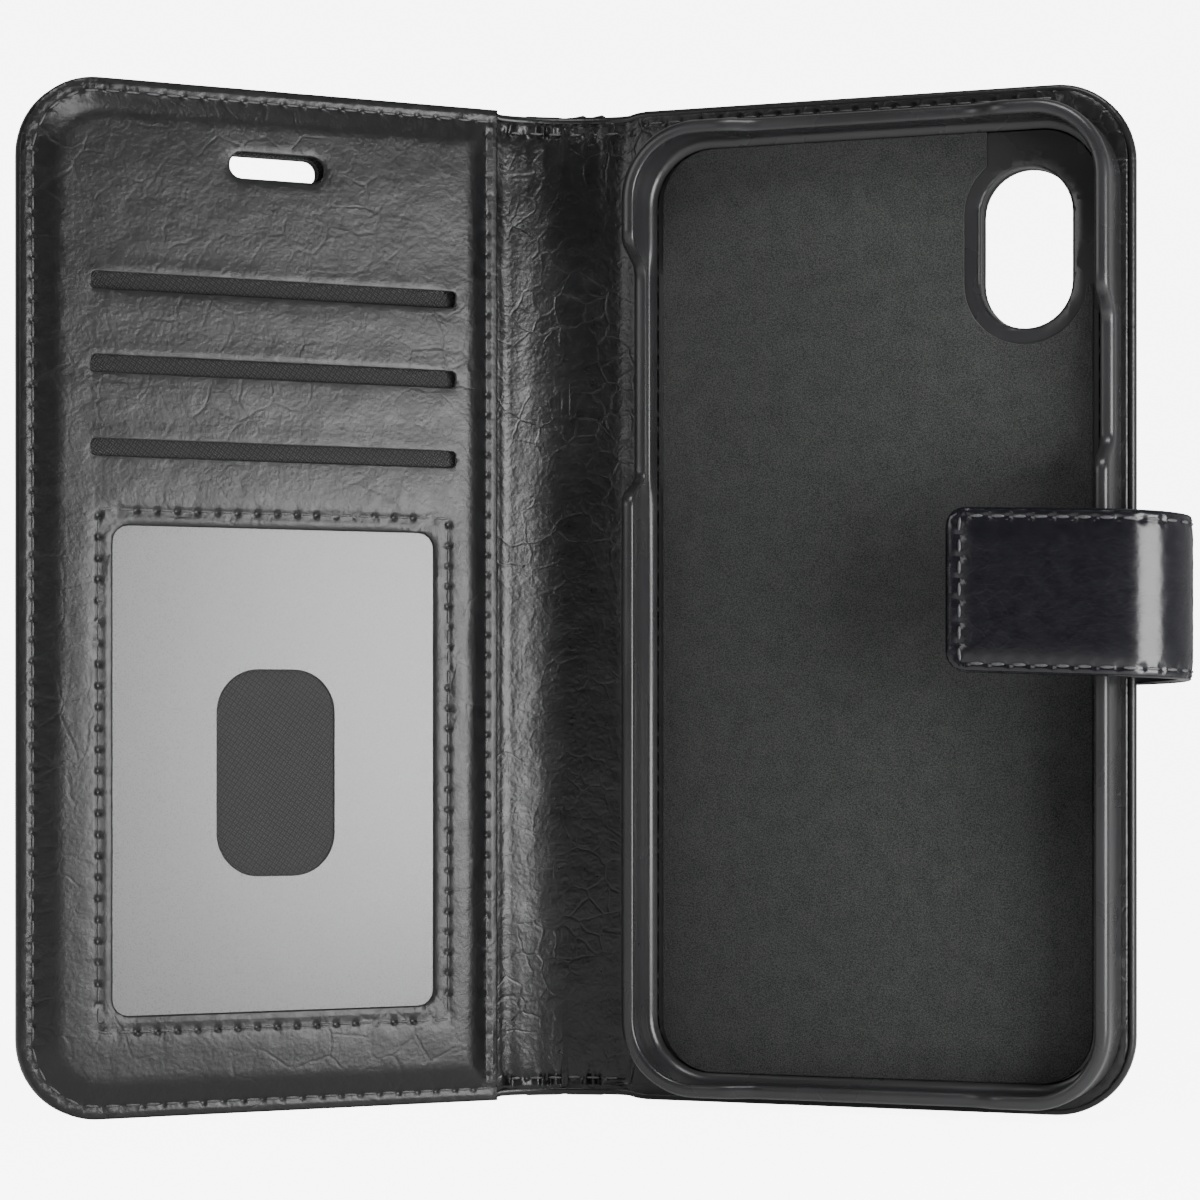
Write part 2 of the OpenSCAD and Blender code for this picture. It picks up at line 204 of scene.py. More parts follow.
BACK_LOW, BACK_HIGH = span("back_leather", ON_BACK)
FRONT_LOW, FRONT_HIGH = span("front_leather", ON_FRONT)
PANEL_LOW, PANEL_HIGH = span("pocket_panel", ON_FRONT)
TRAY_LOW, TRAY_HIGH = span("phone_shell", ON_BACK)
PAD_LOW, PAD_HIGH = span("shell_liner", ON_BACK)
TAB_LOW, TAB_HIGH = span("strap_tab_outer", ON_BACK)
TAB_IN_LOW, TAB_IN_HIGH = span("strap_tab_inner", ON_BACK)
BRIDGE_LOW, BRIDGE_HIGH = span("strap_bridge_outer", ON_BACK)
FILM_LOW, FILM_HIGH = span("id_window_film", ON_FRONT)

CASE_H = BACK_HIGH.y
MID_Y = CASE_H / 2
CORNER_R = 12
LEATHER = 0.8
OUT_Z = BACK_LOW.z
IN_Z = -OUT_Z

# Developed book: x of the back cover runs on past the spine to the front cover's free edge
FOLD_X = BACK_FOLD.x / MM
SPINE_R = (BACK_FOLD.y - FRONT_FOLD.y) / MM / (1 - math.cos(BEND))
SPINE_L = SPINE_R * BEND
SPINE_HALF = 1.0
BACK_EDGE = FOLD_X + FOLD_IN
BACK_FREE = BACK_HIGH.x
FRONT_EDGE = FOLD_X - SPINE_L - FOLD_IN
FRONT_FREE = FRONT_EDGE + PANEL_LOW.x
SPINE_MID = FOLD_X - SPINE_L / 2

# Openings in the front cover and the seams round them
FIELD_X = (FILM_LOW.x + FILM_HIGH.x) / 2
WINDOW = ((FIELD_X, (FILM_LOW.y + FILM_HIGH.y) / 2), (50.4, 71.9), (2.4,) * 4)
SLOTS = [((FIELD_X, 122.8 - 12.2 * i), (57.2, 2.4), (0.6,) * 4) for i in range(3)]
SPEAKER = ((FIELD_X, 141.0), (14.8, 3.8), (1.89,) * 4)
WINDOW_SEAM = 2.3
SEAM_IN = 2.0
PITCH = 3.1

# Phone tray
TRAY_MID = (TRAY_LOW + TRAY_HIGH) / 2
TRAY_WALL = 1.6
CAMERA = ((23.0, 128.5), (13.8, 23.9), (6.89,) * 4)
TRAY_FLOOR = PAD_LOW.z

# Strap: centre line of the bend round the free edge
LOOP_R = 9.85
LOOP_C = (38.0, LOOP_R)
STRAP_MID = (TAB_LOW.y + TAB_HIGH.y) / 2
STRAP_W = TAB_HIGH.y - TAB_LOW.y
STRAP_SKEW = 2.0
STRAP_SEAM = 1.3


# ---- camera, light and floor ----

def make_camera():
    cam = bpy.data.objects.new("camera", bpy.data.cameras.new("camera"))
    cam.location = (0.1287, -0.4903, 0.0566)
    cam.rotation_euler = (math.radians(90), 0, math.radians(19.5))
    cam.data.lens = 100.3
    cam.data.shift_y = 0.111
    bpy.context.scene.collection.objects.link(cam)
    bpy.context.scene.camera = cam


def softbox(name, place, aim, size, power, spread=180):
    data = bpy.data.lights.new(name, "AREA")
    data.shape = "RECTANGLE"
    data.size, data.size_y = size
    data.energy = power
    data.spread = math.radians(spread)
    lamp = bpy.data.objects.new(name, data)
    lamp.location = place
    lamp.rotation_euler = (Vector(aim) - Vector(place)).to_track_quat("-Z", "Y").to_euler()
    bpy.context.scene.collection.objects.link(lamp)


def make_world():
    """White round the back of the case, as a white table gives it, and dimmer in front."""
    world = bpy.data.worlds.new("studio")
    bpy.context.scene.world = world
    world.use_nodes = True
    nodes, links = world.node_tree.nodes, world.node_tree.links
    nodes.clear()
    place = nodes.new("ShaderNodeTexCoord")
    split = nodes.new("ShaderNodeSeparateXYZ")
    links.new(place.outputs["Generated"], split.inputs[0])
    ramp = nodes.new("ShaderNodeMapRange")
    ramp.inputs["From Min"].default_value = -0.35
    ramp.inputs["From Max"].default_value = 0.45
    ramp.inputs["To Min"].default_value = 0.02
    ramp.inputs["To Max"].default_value = 0.6
    links.new(split.outputs["Y"], ramp.inputs["Value"])
    path = nodes.new("ShaderNodeLightPath")
    seen = nodes.new("ShaderNodeMix")
    seen.data_type = "FLOAT"
    seen.inputs["B"].default_value = 9.0
    links.new(path.outputs["Is Camera Ray"], seen.inputs["Factor"])
    links.new(ramp.outputs["Result"], seen.inputs["A"])
    back = nodes.new("ShaderNodeBackground")
    links.new(seen.outputs["Result"], back.inputs["Strength"])
    out = nodes.new("ShaderNodeOutputWorld")
    links.new(back.outputs[0], out.inputs[0])


def make_floor():
    bm = bmesh.new()
    bmesh.ops.create_grid(bm, x_segments=1, y_segments=1, size=4)
    data = bpy.data.meshes.new("floor")
    bm.to_mesh(data)
    floor = bpy.data.objects.new("floor", data)
    bpy.context.scene.collection.objects.link(floor)
    white = plain("floor_white", (0.92, 0.92, 0.92), 0.9)
    shader = white.node_tree.nodes["Principled BSDF"]
    shader.inputs["Specular IOR Level"].default_value = 0.0
    shader.inputs["Emission Color"].default_value = (1, 1, 1, 1)
    lamp = Wiring(white.node_tree)
    path = lamp.node("ShaderNodeLightPath")
    seen = lamp.remap(path.outputs["Is Camera Ray"], 0.0, 1.0, 0.25, 7.0)
    lamp.feed(seen, shader.inputs["Emission Strength"])
    floor.data.materials.append(white)
    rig.stage(floor)


# ---- mesh helpers ----

def outline(bm, centre, size, radii):
    """Adds a face with its own radius at each corner: lower left, lower right, top left, top right."""
    made = bmesh.ops.create_grid(bm, x_segments=1, y_segments=1, size=0.5)["verts"]
    for v in made:
        v.co = Vector((centre[0] + v.co.x * size[0], centre[1] + v.co.y * size[1], 0))
    for v, r in zip(made, radii):
        if r:
            bmesh.ops.bevel(bm, geom=[v], offset=r, offset_type="OFFSET", affect="VERTICES",
                            segments=max(4, round(r * 1.5)), profile=0.5, material=-1)


def fill(bm, rings=(), cell=1.0):
    """Fills between the outlines, lays loops beside every edge and cuts the rest into cells."""
    bmesh.ops.remove_doubles(bm, verts=bm.verts[:], dist=0.06)
    bmesh.ops.delete(bm, geom=bm.faces[:], context="FACES_ONLY")
    points = np.array([v.co for v in bm.verts])
    bmesh.ops.triangle_fill(bm, use_beauty=True, edges=bm.edges[:], normal=(0, 0, 1))
    for e in bm.edges:
        e.seam = not e.is_boundary
    for step in rings:
        inner = [f for f in bm.faces if not f.tag]
        made = bmesh.ops.inset_region(bm, faces=inner, thickness=step, use_boundary=True,
                                      use_even_offset=True)
        for f in made["faces"]:
            f.tag = True
    for axis in (0, 1):
        low, high = points[:, axis].min(), points[:, axis].max()
        count = round((high - low) / cell)
        normal = Vector((1 - axis, axis, 0))
        for i in range(1, count):
            bmesh.ops.bisect_plane(bm, geom=bm.verts[:] + bm.edges[:] + bm.faces[:], dist=1e-4,
                                   plane_co=normal * (low + (high - low) * i / count),
                                   plane_no=normal)
    bmesh.ops.dissolve_edges(bm, edges=[e for e in bm.edges if e.seam and not e.is_boundary],
                             use_verts=False)
    for e in bm.edges:
        e.seam = False
    bm.normal_update()
    for f in bm.faces:
        if f.normal.z < 0:
            f.normal_flip()


def refine(bm, seams, reach, times=2):
    """Halves the cells beside the seams."""
    for _ in range(times):
        points = np.array([v.co for v in bm.verts])
        near = np.zeros(len(points), bool)
        for seam in seams:
            near |= seam.measure(points[:, 0], points[:, 1])[0] < reach
        for v, hit in zip(bm.verts, near):
            v.tag = bool(hit)
        edges = [e for e in bm.edges if e.verts[0].tag and e.verts[1].tag]
        bmesh.ops.subdivide_edges(bm, edges=edges, cuts=1, use_grid_fill=True)


def reshape(bm, form):
    """Moves every point to form(x, y, z)."""
    points = np.array([v.co for v in bm.verts])
    moved = np.stack(form(points[:, 0], points[:, 1], points[:, 2]), 1)
    for v, p in zip(bm.verts, moved):
        v.co = p


def keep_flat(bm):
    """Stores the flat pattern's x and y, in metres, as the piece's own UV map."""
    layer = bm.loops.layers.uv.new("flat")
    for f in bm.faces:
        for loop in f.loops:
            loop[layer].uv = loop.vert.co.xy * MM


def thicken(bm, t):
    """Closes a sheet: its faces stay the outer side and a copy lies t further in."""
    bm.normal_update()
    made = bmesh.ops.extrude_face_region(bm, geom=bm.faces[:], use_keep_orig=True)
    for v in made["geom"]:
        if isinstance(v, bmesh.types.BMVert):
            v.co -= v.normal * t
    bmesh.ops.recalc_face_normals(bm, faces=bm.faces[:])


def inside(x, y, shape):
    """Distance in from the outline (centre, size, radii), below 0 outside it."""
    (cx, cy), (w, h), radii = shape
    right, top = x > cx, y > cy
    r = np.where(top, np.where(right, radii[3], radii[2]), np.where(right, radii[1], radii[0]))
    qx, qy = np.abs(x - cx) - w / 2 + r, np.abs(y - cy) - h / 2 + r
    return r - np.minimum(np.maximum(qx, qy), 0) - np.hypot(np.maximum(qx, 0), np.maximum(qy, 0))


def outward(points, shape):
    """Unit direction out of the outline at each point."""
    x, y = points[:, 0], points[:, 1]
    e = 0.01
    gx = inside(x - e, y, shape) - inside(x + e, y, shape)
    gy = inside(x, y - e, shape) - inside(x, y + e, shape)
    size = np.maximum(np.hypot(gx, gy), 1e-9)
    return gx / size, gy / size


def ease(t):
    t = np.clip(t, 0, 1)
    return t * t * (3 - 2 * t)


def bump(t):
    """1 at t = 0, falling smoothly to nothing at about t = 2."""
    return np.exp(-t * t)


def roll(d, r):
    """Drop of a rounded edge of radius r at a distance d from the edge."""
    left = r - np.clip(d, 0, r)
    return r - np.sqrt(np.maximum(r * r - left * left, 0))


def waves(x, y, size, seed):
    """Slow unevenness from -1 to 1, about size across."""
    return np.array([noise.noise((a / size, b / size, seed)) for a, b in zip(x, y)])


def book(x, y, z):
    """Takes the developed book round the spine and up the front cover."""
    a = np.clip(FOLD_X - x, 0, SPINE_L) / SPINE_R
    beyond = np.maximum(FOLD_X - x - SPINE_L, 0)
    flat = np.maximum(x - FOLD_X, 0)
    return (FOLD_X + flat - (SPINE_R - z) * np.sin(a) - beyond * math.cos(BEND), y,
            SPINE_R - (SPINE_R - z) * np.cos(a) + beyond * math.sin(BEND))


class Seam:
    """Row of stitches along a path of flat points."""

    def __init__(self, corners, radius=0, pitch=PITCH):
        points = [Vector(corners[0])]
        for a, b, c in zip(corners, corners[1:], corners[2:]):
            a, b, c = Vector(a), Vector(b), Vector(c)
            before, after = (a - b).normalized(), (c - b).normalized()
            centre = b + (before + after) * radius
            for i in range(9):
                t = math.pi / 2 * i / 8
                points.append(centre - after * radius * math.cos(t) - before * radius * math.sin(t))
        points.append(Vector(corners[-1]))
        self.path = np.array(points)
        steps = np.hypot(*np.diff(self.path, axis=0).T)
        self.along = np.concatenate([[0], np.cumsum(steps)])
        self.count = max(1, round(self.along[-1] / pitch))
        self.pitch = self.along[-1] / self.count

    def measure(self, x, y):
        """Distance from the path, and how far along it, for each point."""
        best = np.full(len(x), 1e9)
        where = np.zeros(len(x))
        for (ax, ay), (bx, by), s in zip(self.path, self.path[1:], self.along):
            run = math.hypot(bx - ax, by - ay)
            if run < 1e-9:
                continue
            t = np.clip(((x - ax) * (bx - ax) + (y - ay) * (by - ay)) / run**2, 0, 1)
            d = np.hypot(x - ax - t * (bx - ax), y - ay - t * (by - ay))
            nearer = d < best
            best = np.where(nearer, d, best)
            where = np.where(nearer, s + t * run, where)
        return best, where

    def pucker(self, x, y, depth=0.3, width=0.46, pull=0.12):
        """How far the thread pulls the leather down at each point."""
        d, s = self.measure(x, y)
        phase = (s / self.pitch) % 1 - 0.5
        holes = ease((np.abs(phase) - 0.3) / 0.16)
        return depth * bump(d / width) * (0.25 + 0.75 * holes) + pull * bump(d / 1.5)

    def places(self):
        """Middle point and direction of every stitch."""
        for i in range(self.count):
            s = (i + 0.5) * self.pitch
            k = min(int(np.searchsorted(self.along, s, "right")) - 1, len(self.path) - 2)
            a, b = Vector(self.path[k]), Vector(self.path[k + 1])
            t = (s - self.along[k]) / (self.along[k + 1] - self.along[k])
            yield a.lerp(b, t), math.atan2(b.y - a.y, b.x - a.x)


def piece(bm, name, place, materials, slot, nodes, smooth=60):
    """Makes the object, with its place in its mesh, and says which CAD nodes it stands for."""
    bmesh.ops.transform(bm, matrix=place, verts=bm.verts[:])
    data = bpy.data.meshes.new(name)
    bm.to_mesh(data)
    bm.free()
    data.shade_smooth()
    data.set_sharp_from_angle(angle=math.radians(smooth))
    made = bpy.data.objects.new(name, data)
    bpy.context.scene.collection.objects.link(made)
    data.materials.append(materials)
    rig.slot(made, slot)
    if nodes:
        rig.replaces(made, *nodes)
    return made


def stitches(name, place, body, nodes, rows, lie, length=2.2, wide=0.42, tall=0.3, bend=None):
    """Threads of a seam: each one a small loop that sinks into the leather at both ends."""
    bm = bmesh.new()
    for seam in rows:
        for (x, y), turn in seam.places():
            made = bmesh.ops.create_uvsphere(bm, u_segments=6, v_segments=5, radius=0.5)["verts"]
            z = lie(np.array([x]), np.array([y]))[0]
            grow = Matrix.Diagonal((length, wide, tall, 1)) @ Matrix.Rotation(math.pi / 2, 4, "Y")
            spot = Matrix.Translation((x, y, z)) @ Matrix.Rotation(turn, 4, "Z") @ grow
            bmesh.ops.transform(bm, matrix=spot, verts=made)
    if bend:
        reshape(bm, bend)
    made = piece(bm, name, place, THREAD, "thread", nodes, 180)
    if body:
        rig.ride(made, body)
    return made


# ---- material helpers ----

def group(name, inputs, outputs):
    """Empty shader node group; inputs are name: default, outputs are name: socket type."""
    tree = bpy.data.node_groups.new(name, "ShaderNodeTree")
    for key, value in inputs.items():
        kind = "NodeSocketVector" if value is None else "NodeSocketFloat"
        made = tree.interface.new_socket(key, in_out="INPUT", socket_type=kind)
        if value is not None:
            made.default_value = value
    for key, kind in outputs.items():
        tree.interface.new_socket(key, in_out="OUTPUT", socket_type=kind)
    return tree, tree.nodes.new("NodeGroupInput"), tree.nodes.new("NodeGroupOutput")


class Wiring:
    """Adds nodes to one tree; a value may be a number or another node's output."""

    def __init__(self, tree):
        self.tree = tree

    def node(self, kind, settings=None, **sockets):
        made = self.tree.nodes.new(kind)
        for key, value in (settings or {}).items():
            setattr(made, key, value)
        for key, value in sockets.items():
            self.feed(value, made.inputs[key.replace("_", " ")])
        return made

    def feed(self, value, socket):
        if isinstance(value, bpy.types.NodeSocket):
            self.tree.links.new(value, socket)
        else:
            socket.default_value = value

    def math(self, operation, a, b=0.0, clamp=False):
        made = self.tree.nodes.new("ShaderNodeMath")
        made.operation, made.use_clamp = operation, clamp
        self.feed(a, made.inputs[0])
        self.feed(b, made.inputs[1])
        return made.outputs[0]

    def remap(self, value, low, high, to_low=0.0, to_high=1.0):
        made = self.node("ShaderNodeMapRange", Value=value)
        for key, v in zip(("From Min", "From Max", "To Min", "To Max"),
                          (low, high, to_low, to_high)):
            made.inputs[key].default_value = v
        return made.outputs["Result"]

    def noise(self, vector, scale, detail=2.0, rough=0.5):
        made = self.node("ShaderNodeTexNoise", Vector=vector, Scale=scale, Detail=detail,
                         Roughness=rough)
        return made.outputs["Fac"]

    def colour(self, factor, dark, light):
        made = self.node("ShaderNodeMix", {"data_type": "RGBA"})
        self.feed(factor, made.inputs[0])
        made.inputs[6].default_value = (*dark, 1)
        made.inputs[7].default_value = (*light, 1)
        return made.outputs[2]


def grain_group():
    """Pebbled skin with crossing creases: a height, and a mask that is 1 in the creases."""
    tree, start, end = group(
        "leather_grain",
        {"Vector": None, "Pebbles": 1500.0, "Creases": 190.0, "Crease Depth": 0.5},
        {"Height": "NodeSocketFloat", "Crease": "NodeSocketFloat", "Mottle": "NodeSocketFloat"},
    )
    w = Wiring(tree)
    place = start.outputs["Vector"]
    wander = w.node("ShaderNodeTexNoise", Vector=place, Scale=240.0, Detail=3.0)
    shift = w.node("ShaderNodeVectorMath", {"operation": "MULTIPLY_ADD"})
    tree.links.new(wander.outputs["Color"], shift.inputs[0])
    shift.inputs[1].default_value = (0.0022, 0.0022, 0.0022)
    tree.links.new(place, shift.inputs[2])
    pebble = w.node("ShaderNodeTexVoronoi", {"feature": "SMOOTH_F1"}, Vector=place,
                    Scale=start.outputs["Pebbles"], Smoothness=0.6)
    vein = w.node("ShaderNodeTexVoronoi", {"feature": "DISTANCE_TO_EDGE"},
                  Vector=shift.outputs[0], Scale=start.outputs["Creases"])
    lean = w.node("ShaderNodeMapping", Vector=shift.outputs[0])
    lean.inputs["Rotation"].default_value = (0, -1.0, 0)
    lean.inputs["Scale"].default_value = (1, 1, 3.4)
    wrinkle = w.noise(lean.outputs[0], 430.0, 5.0, 0.62)
    patch = w.remap(w.noise(place, 60.0), 0.42, 0.62)
    crease = w.math("MULTIPLY", w.remap(vein.outputs["Distance"], 0.0, 0.07, 1.0, 0.0), patch)
    depth = w.math("MULTIPLY", crease, start.outputs["Crease Depth"])
    pebbled = w.math("MULTIPLY", w.math("SUBTRACT", 1.0, pebble.outputs["Distance"]), 0.3)
    skin = w.math("ADD", pebbled, w.math("MULTIPLY", wrinkle, 1.5))
    mottle = w.noise(place, 420.0, 3.0, 0.6)
    soft = w.math("MULTIPLY", mottle, 0.15)
    w.feed(w.math("SUBTRACT", w.math("ADD", skin, soft), depth), end.inputs["Height"])
    w.feed(crease, end.inputs["Crease"])
    w.feed(mottle, end.inputs["Mottle"])
    return tree


def weave_group():
    """Plain weave: threads over and under each other, as a height and a painted shade that is dark in the hollows
    between the threads and light on their crowns.
    """
    tree, start, end = group(
        "plain_weave", {"Vector": None, "Threads": 1700.0},
        {"Height": "NodeSocketFloat", "Shade": "NodeSocketFloat"},
    )
    w = Wiring(tree)
    split = w.node("ShaderNodeSeparateXYZ", Vector=start.outputs["Vector"])
    waves_of = []
    for axis in ("X", "Y"):
        turns = w.math("MULTIPLY", split.outputs[axis], start.outputs["Threads"])
        waves_of.append((turns, w.math("SINE", w.math("MULTIPLY", turns, 2 * math.pi))))
    (tx, sx), (ty, sy) = waves_of
    over = w.math("MULTIPLY", w.math("SINE", w.math("MULTIPLY", tx, math.pi)),
                  w.math("SINE", w.math("MULTIPLY", ty, math.pi)))
    warp = w.math("MULTIPLY", w.math("ABSOLUTE", sx), w.remap(over, -0.6, 0.6))
    weft = w.math("MULTIPLY", w.math("ABSOLUTE", sy), w.remap(over, 0.6, -0.6))
    height = w.math("MAXIMUM", warp, weft)
    w.feed(height, end.inputs["Height"])
    fuzz = w.noise(start.outputs["Vector"], 6000.0)
    # Painted shade: the colour follows the thread height, dark in the hollows between threads and light on the crowns.
    w.feed(w.math("MULTIPLY", height, w.remap(fuzz, 0.3, 0.7, 0.6, 1.0)), end.inputs["Shade"])
    return tree


def speckle_group():
    """Short pile: a fine speckle and its height."""
    tree, start, end = group(
        "pile", {"Vector": None, "Pile": 5200.0},
        {"Height": "NodeSocketFloat", "Speckle": "NodeSocketFloat"},
    )
    w = Wiring(tree)
    fine = w.noise(start.outputs["Vector"], start.outputs["Pile"], 2.0, 0.7)
    broad = w.noise(start.outputs["Vector"], 300.0, 2.0)
    w.feed(fine, end.inputs["Height"])
    w.feed(w.math("ADD", w.remap(fine, 0.35, 0.68, 0.0, 0.85),
                  w.remap(broad, 0.3, 0.7, 0.0, 0.15)), end.inputs["Speckle"])
    return tree


def blank(name):
    mat = bpy.data.materials.new(name)
    mat.use_nodes = True
    w = Wiring(mat.node_tree)
    return mat, w, mat.node_tree.nodes["Principled BSDF"]


def place_of(w, flat=False):
    """Where a pattern sits: the piece's flat pattern, or the object's own coordinates."""
    if flat:
        return w.node("ShaderNodeUVMap", {"uv_map": "flat"}).outputs["UV"]
    return w.node("ShaderNodeTexCoord").outputs["Object"]


def add_bump(w, shader, height, distance, strength=1.0):
    made = w.node("ShaderNodeBump", Height=height, Distance=distance, Strength=strength)
    w.tree.links.new(made.outputs["Normal"], shader.inputs["Normal"])


def plain(name, colour, rough):
    mat, w, shader = blank(name)
    tone = w.remap(w.noise(place_of(w), 40.0), 0.3, 0.7)
    w.feed(w.colour(tone, [c * 0.99 for c in colour], colour), shader.inputs["Base Color"])
    shader.inputs["Roughness"].default_value = rough
    return mat


def leather(name, dark, light, rough, pebbles=1500.0, creases=190.0, deep=0.4, distance=0.00006,
            flat=True, coat=0.0):
    mat, w, shader = blank(name)
    grain = w.node("ShaderNodeGroup", {"node_tree": GRAIN}, Vector=place_of(w, flat),
                   Pebbles=pebbles, Creases=creases, Crease_Depth=deep)
    w.feed(w.colour(grain.outputs["Mottle"], dark, light), shader.inputs["Base Color"])
    gloss = w.remap(grain.outputs["Mottle"], 0.3, 0.7, rough - 0.03, rough + 0.04)
    worn = w.math("ADD", gloss, w.math("MULTIPLY", grain.outputs["Crease"], 0.05))
    w.feed(worn, shader.inputs["Roughness"])
    shader.inputs["Coat Weight"].default_value = coat
    shader.inputs["Coat Roughness"].default_value = 0.16
    add_bump(w, shader, grain.outputs["Height"], distance)
    return mat


def cloth(name, dark, light, threads, turn=0.0, flat=True):
    mat, w, shader = blank(name)
    mapped = w.node("ShaderNodeMapping", Vector=place_of(w, flat))
    mapped.inputs["Rotation"].default_value = (0, 0, turn) if flat else (math.pi / 2, 0, turn)
    weave = w.node("ShaderNodeGroup", {"node_tree": WEAVE}, Vector=mapped.outputs[0],
                   Threads=threads)
    # Base colour from the weave's painted shade: dark in the hollows between the threads, light on their crowns.
    w.feed(w.colour(weave.outputs["Shade"], dark, light), shader.inputs["Base Color"])
    shader.inputs["Roughness"].default_value = 0.62
    shader.inputs["Sheen Weight"].default_value = 0.2
    add_bump(w, shader, weave.outputs["Height"], 0.00025)
    return mat


def flock(name, dark, light):
    mat, w, shader = blank(name)
    pile = w.node("ShaderNodeGroup", {"node_tree": PILE}, Vector=place_of(w))
    w.feed(w.colour(pile.outputs["Speckle"], dark, light), shader.inputs["Base Color"])
    shader.inputs["Roughness"].default_value = 0.95
    shader.inputs["Specular IOR Level"].default_value = 0.15
    shader.inputs["Sheen Weight"].default_value = 0.15
    shader.inputs["Sheen Roughness"].default_value = 0.5
    add_bump(w, shader, pile.outputs["Height"], 0.00012)
    return mat


def moulded(name, dark, light, rough):
    mat, w, shader = blank(name)
    place = place_of(w)
    haze = w.noise(place, 90.0, 3.0)
    w.feed(w.colour(haze, dark, light), shader.inputs["Base Color"])
    w.feed(w.remap(haze, 0.3, 0.7, rough - 0.04, rough + 0.06), shader.inputs["Roughness"])
    add_bump(w, shader, w.noise(place, 2600.0, 2.0), 0.00001, 0.5)
    return mat


def frosted(name):
    mat, w, shader = blank(name)
    place = place_of(w)
    haze = w.noise(place, 3800.0, 2.0, 0.7)
    w.feed(w.colour(haze, (0.11, 0.11, 0.113), (0.17, 0.17, 0.173)), shader.inputs["Base Color"])
    w.feed(w.remap(haze, 0.3, 0.7, 0.24, 0.34), shader.inputs["Roughness"])
    shader.inputs["Specular IOR Level"].default_value = 0.9
    shader.inputs["Alpha"].default_value = 0.93
    add_bump(w, shader, haze, 0.00002, 0.6)
    return mat


def metal(name, colour, rough):
    mat, w, shader = blank(name)
    mapped = w.node("ShaderNodeMapping", Vector=place_of(w))
    mapped.inputs["Scale"].default_value = (1, 1, 30)
    brushed = w.noise(mapped.outputs[0], 500.0, 3.0)
    w.feed(w.colour(brushed, [c * 0.85 for c in colour], colour), shader.inputs["Base Color"])
    w.feed(w.remap(brushed, 0.3, 0.7, rough - 0.08, rough + 0.08), shader.inputs["Roughness"])
    shader.inputs["Metallic"].default_value = 1.0
    return mat


def pressed_board(name, dark, light):
    mat, w, shader = blank(name)
    fibre = w.noise(place_of(w), 900.0, 4.0, 0.7)
    w.feed(w.colour(fibre, dark, light), shader.inputs["Base Color"])
    shader.inputs["Roughness"].default_value = 0.85
    add_bump(w, shader, fibre, 0.0001)
    return mat


def thread_material():
    mat, w, shader = blank("waxed_thread")
    twist = w.noise(place_of(w), 3200.0, 2.0)
    w.feed(w.colour(twist, (0.03, 0.03, 0.032), (0.12, 0.12, 0.125)),
           shader.inputs["Base Color"])
    shader.inputs["Roughness"].default_value = 0.4
    add_bump(w, shader, twist, 0.0001)
    return mat


# ---- front cover ----

PANEL = ((PANEL_LOW.x / 2, MID_Y), (-PANEL_LOW.x, CASE_H), (CORNER_R, 0, CORNER_R, 0))
PANEL_EDGE_Z = PANEL_LOW.z + LEATHER
PANEL_TOP_Z = PANEL_HIGH.z


def cover_seam(free, near):
    """Seam round the three free sides of a cover, from one end of its fold edge to the other."""
    far = free + SEAM_IN if free < near else free - SEAM_IN
    return Seam([(near, SEAM_IN), (far, SEAM_IN), (far, CASE_H - SEAM_IN),
                 (near, CASE_H - SEAM_IN)], CORNER_R - SEAM_IN)


def window_seam():
    (cx, cy), (w, h), _ = WINDOW
    a, b = w / 2 + WINDOW_SEAM, h / 2 + WINDOW_SEAM
    return Seam([(cx, cy - b), (cx + a, cy - b), (cx + a, cy + b), (cx - a, cy + b),
                 (cx - a, cy - b), (cx, cy - b)], 1.2)


FRONT_SEAM = cover_seam(PANEL_LOW.x, -1.0)
FOLD_SEAM = Seam([(-SEAM_IN, 4.0), (-SEAM_IN, CASE_H - 4.0)])
ID_SEAM = window_seam()


def panel_height(x, y):
    """Top of the card panel: pinned at its seams, full between them, rolled at its openings."""
    d = inside(x, y, PANEL)
    rise = PANEL_TOP_Z - PANEL_EDGE_Z
    z = PANEL_EDGE_Z + rise * (0.9 * ease((d - 1.6) / 4.2) + 0.1 * ease(d / 16))
    z -= roll(d, 0.55)
    for slot in SLOTS:
        away = -inside(x, y, slot)
        over = ease((y - slot[0][1]) / 1.0 + 0.5)
        ends = ease((slot[1][0] / 2 + 1.5 - np.abs(x - slot[0][0])) / 4)
        z += ends * bump(away / 2.0) * (0.1 * over - 0.12 * (1 - over))
        z -= roll(away, 0.2)
    away = -inside(x, y, WINDOW)
    z -= 0.22 * ease((3.0 - away) / 1.6) + roll(away, 0.5)
    away = -inside(x, y, SPEAKER)
    z -= 0.08 * bump(away / 1.6) + roll(away, 0.35)
    for seam in (FRONT_SEAM, FOLD_SEAM, ID_SEAM):
        z -= seam.pucker(x, y)
    return z


def card_panel():
    bm = bmesh.new()
    for shape in (PANEL, *SLOTS, WINDOW, SPEAKER):
        outline(bm, *shape)
    fill(bm, (0.08, 0.14, 0.2, 0.3), 0.95)
    refine(bm, (FRONT_SEAM, FOLD_SEAM, ID_SEAM), 1.5)
    keep_flat(bm)
    reshape(bm, lambda x, y, z: (x, y, panel_height(x, y) + 0.07 * waves(x, y, 9, 1)
                                 + 0.05 * waves(x, y, 3.2, 2)))
    thicken(bm, 0.55)
    made = piece(bm, "card_panel", ON_FRONT, PANEL_LEATHER, "facing_leather", ["pocket_panel"])
    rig.ride(made, "front_cover")


def woven_sheet(name, node, centre, size, z, sag, nodes):
    """Woven lining laid behind an opening."""
    bm = bmesh.new()
    outline(bm, centre, size, (0.5,) * 4)
    fill(bm, (), 1.6)
    keep_flat(bm)
    cx, cy = centre
    reshape(bm, lambda x, y, zz: (x, y, z + sag * waves(x, y, 14, 5)))
    thicken(bm, 0.12)
    made = piece(bm, name, ON_FRONT, WOVEN, "woven_lining", nodes)
    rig.ride(made, "front_cover")
    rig.sheet(made, flat=(size[0] * MM, size[1] * MM), held="laid", rests_on=[node])
    return made


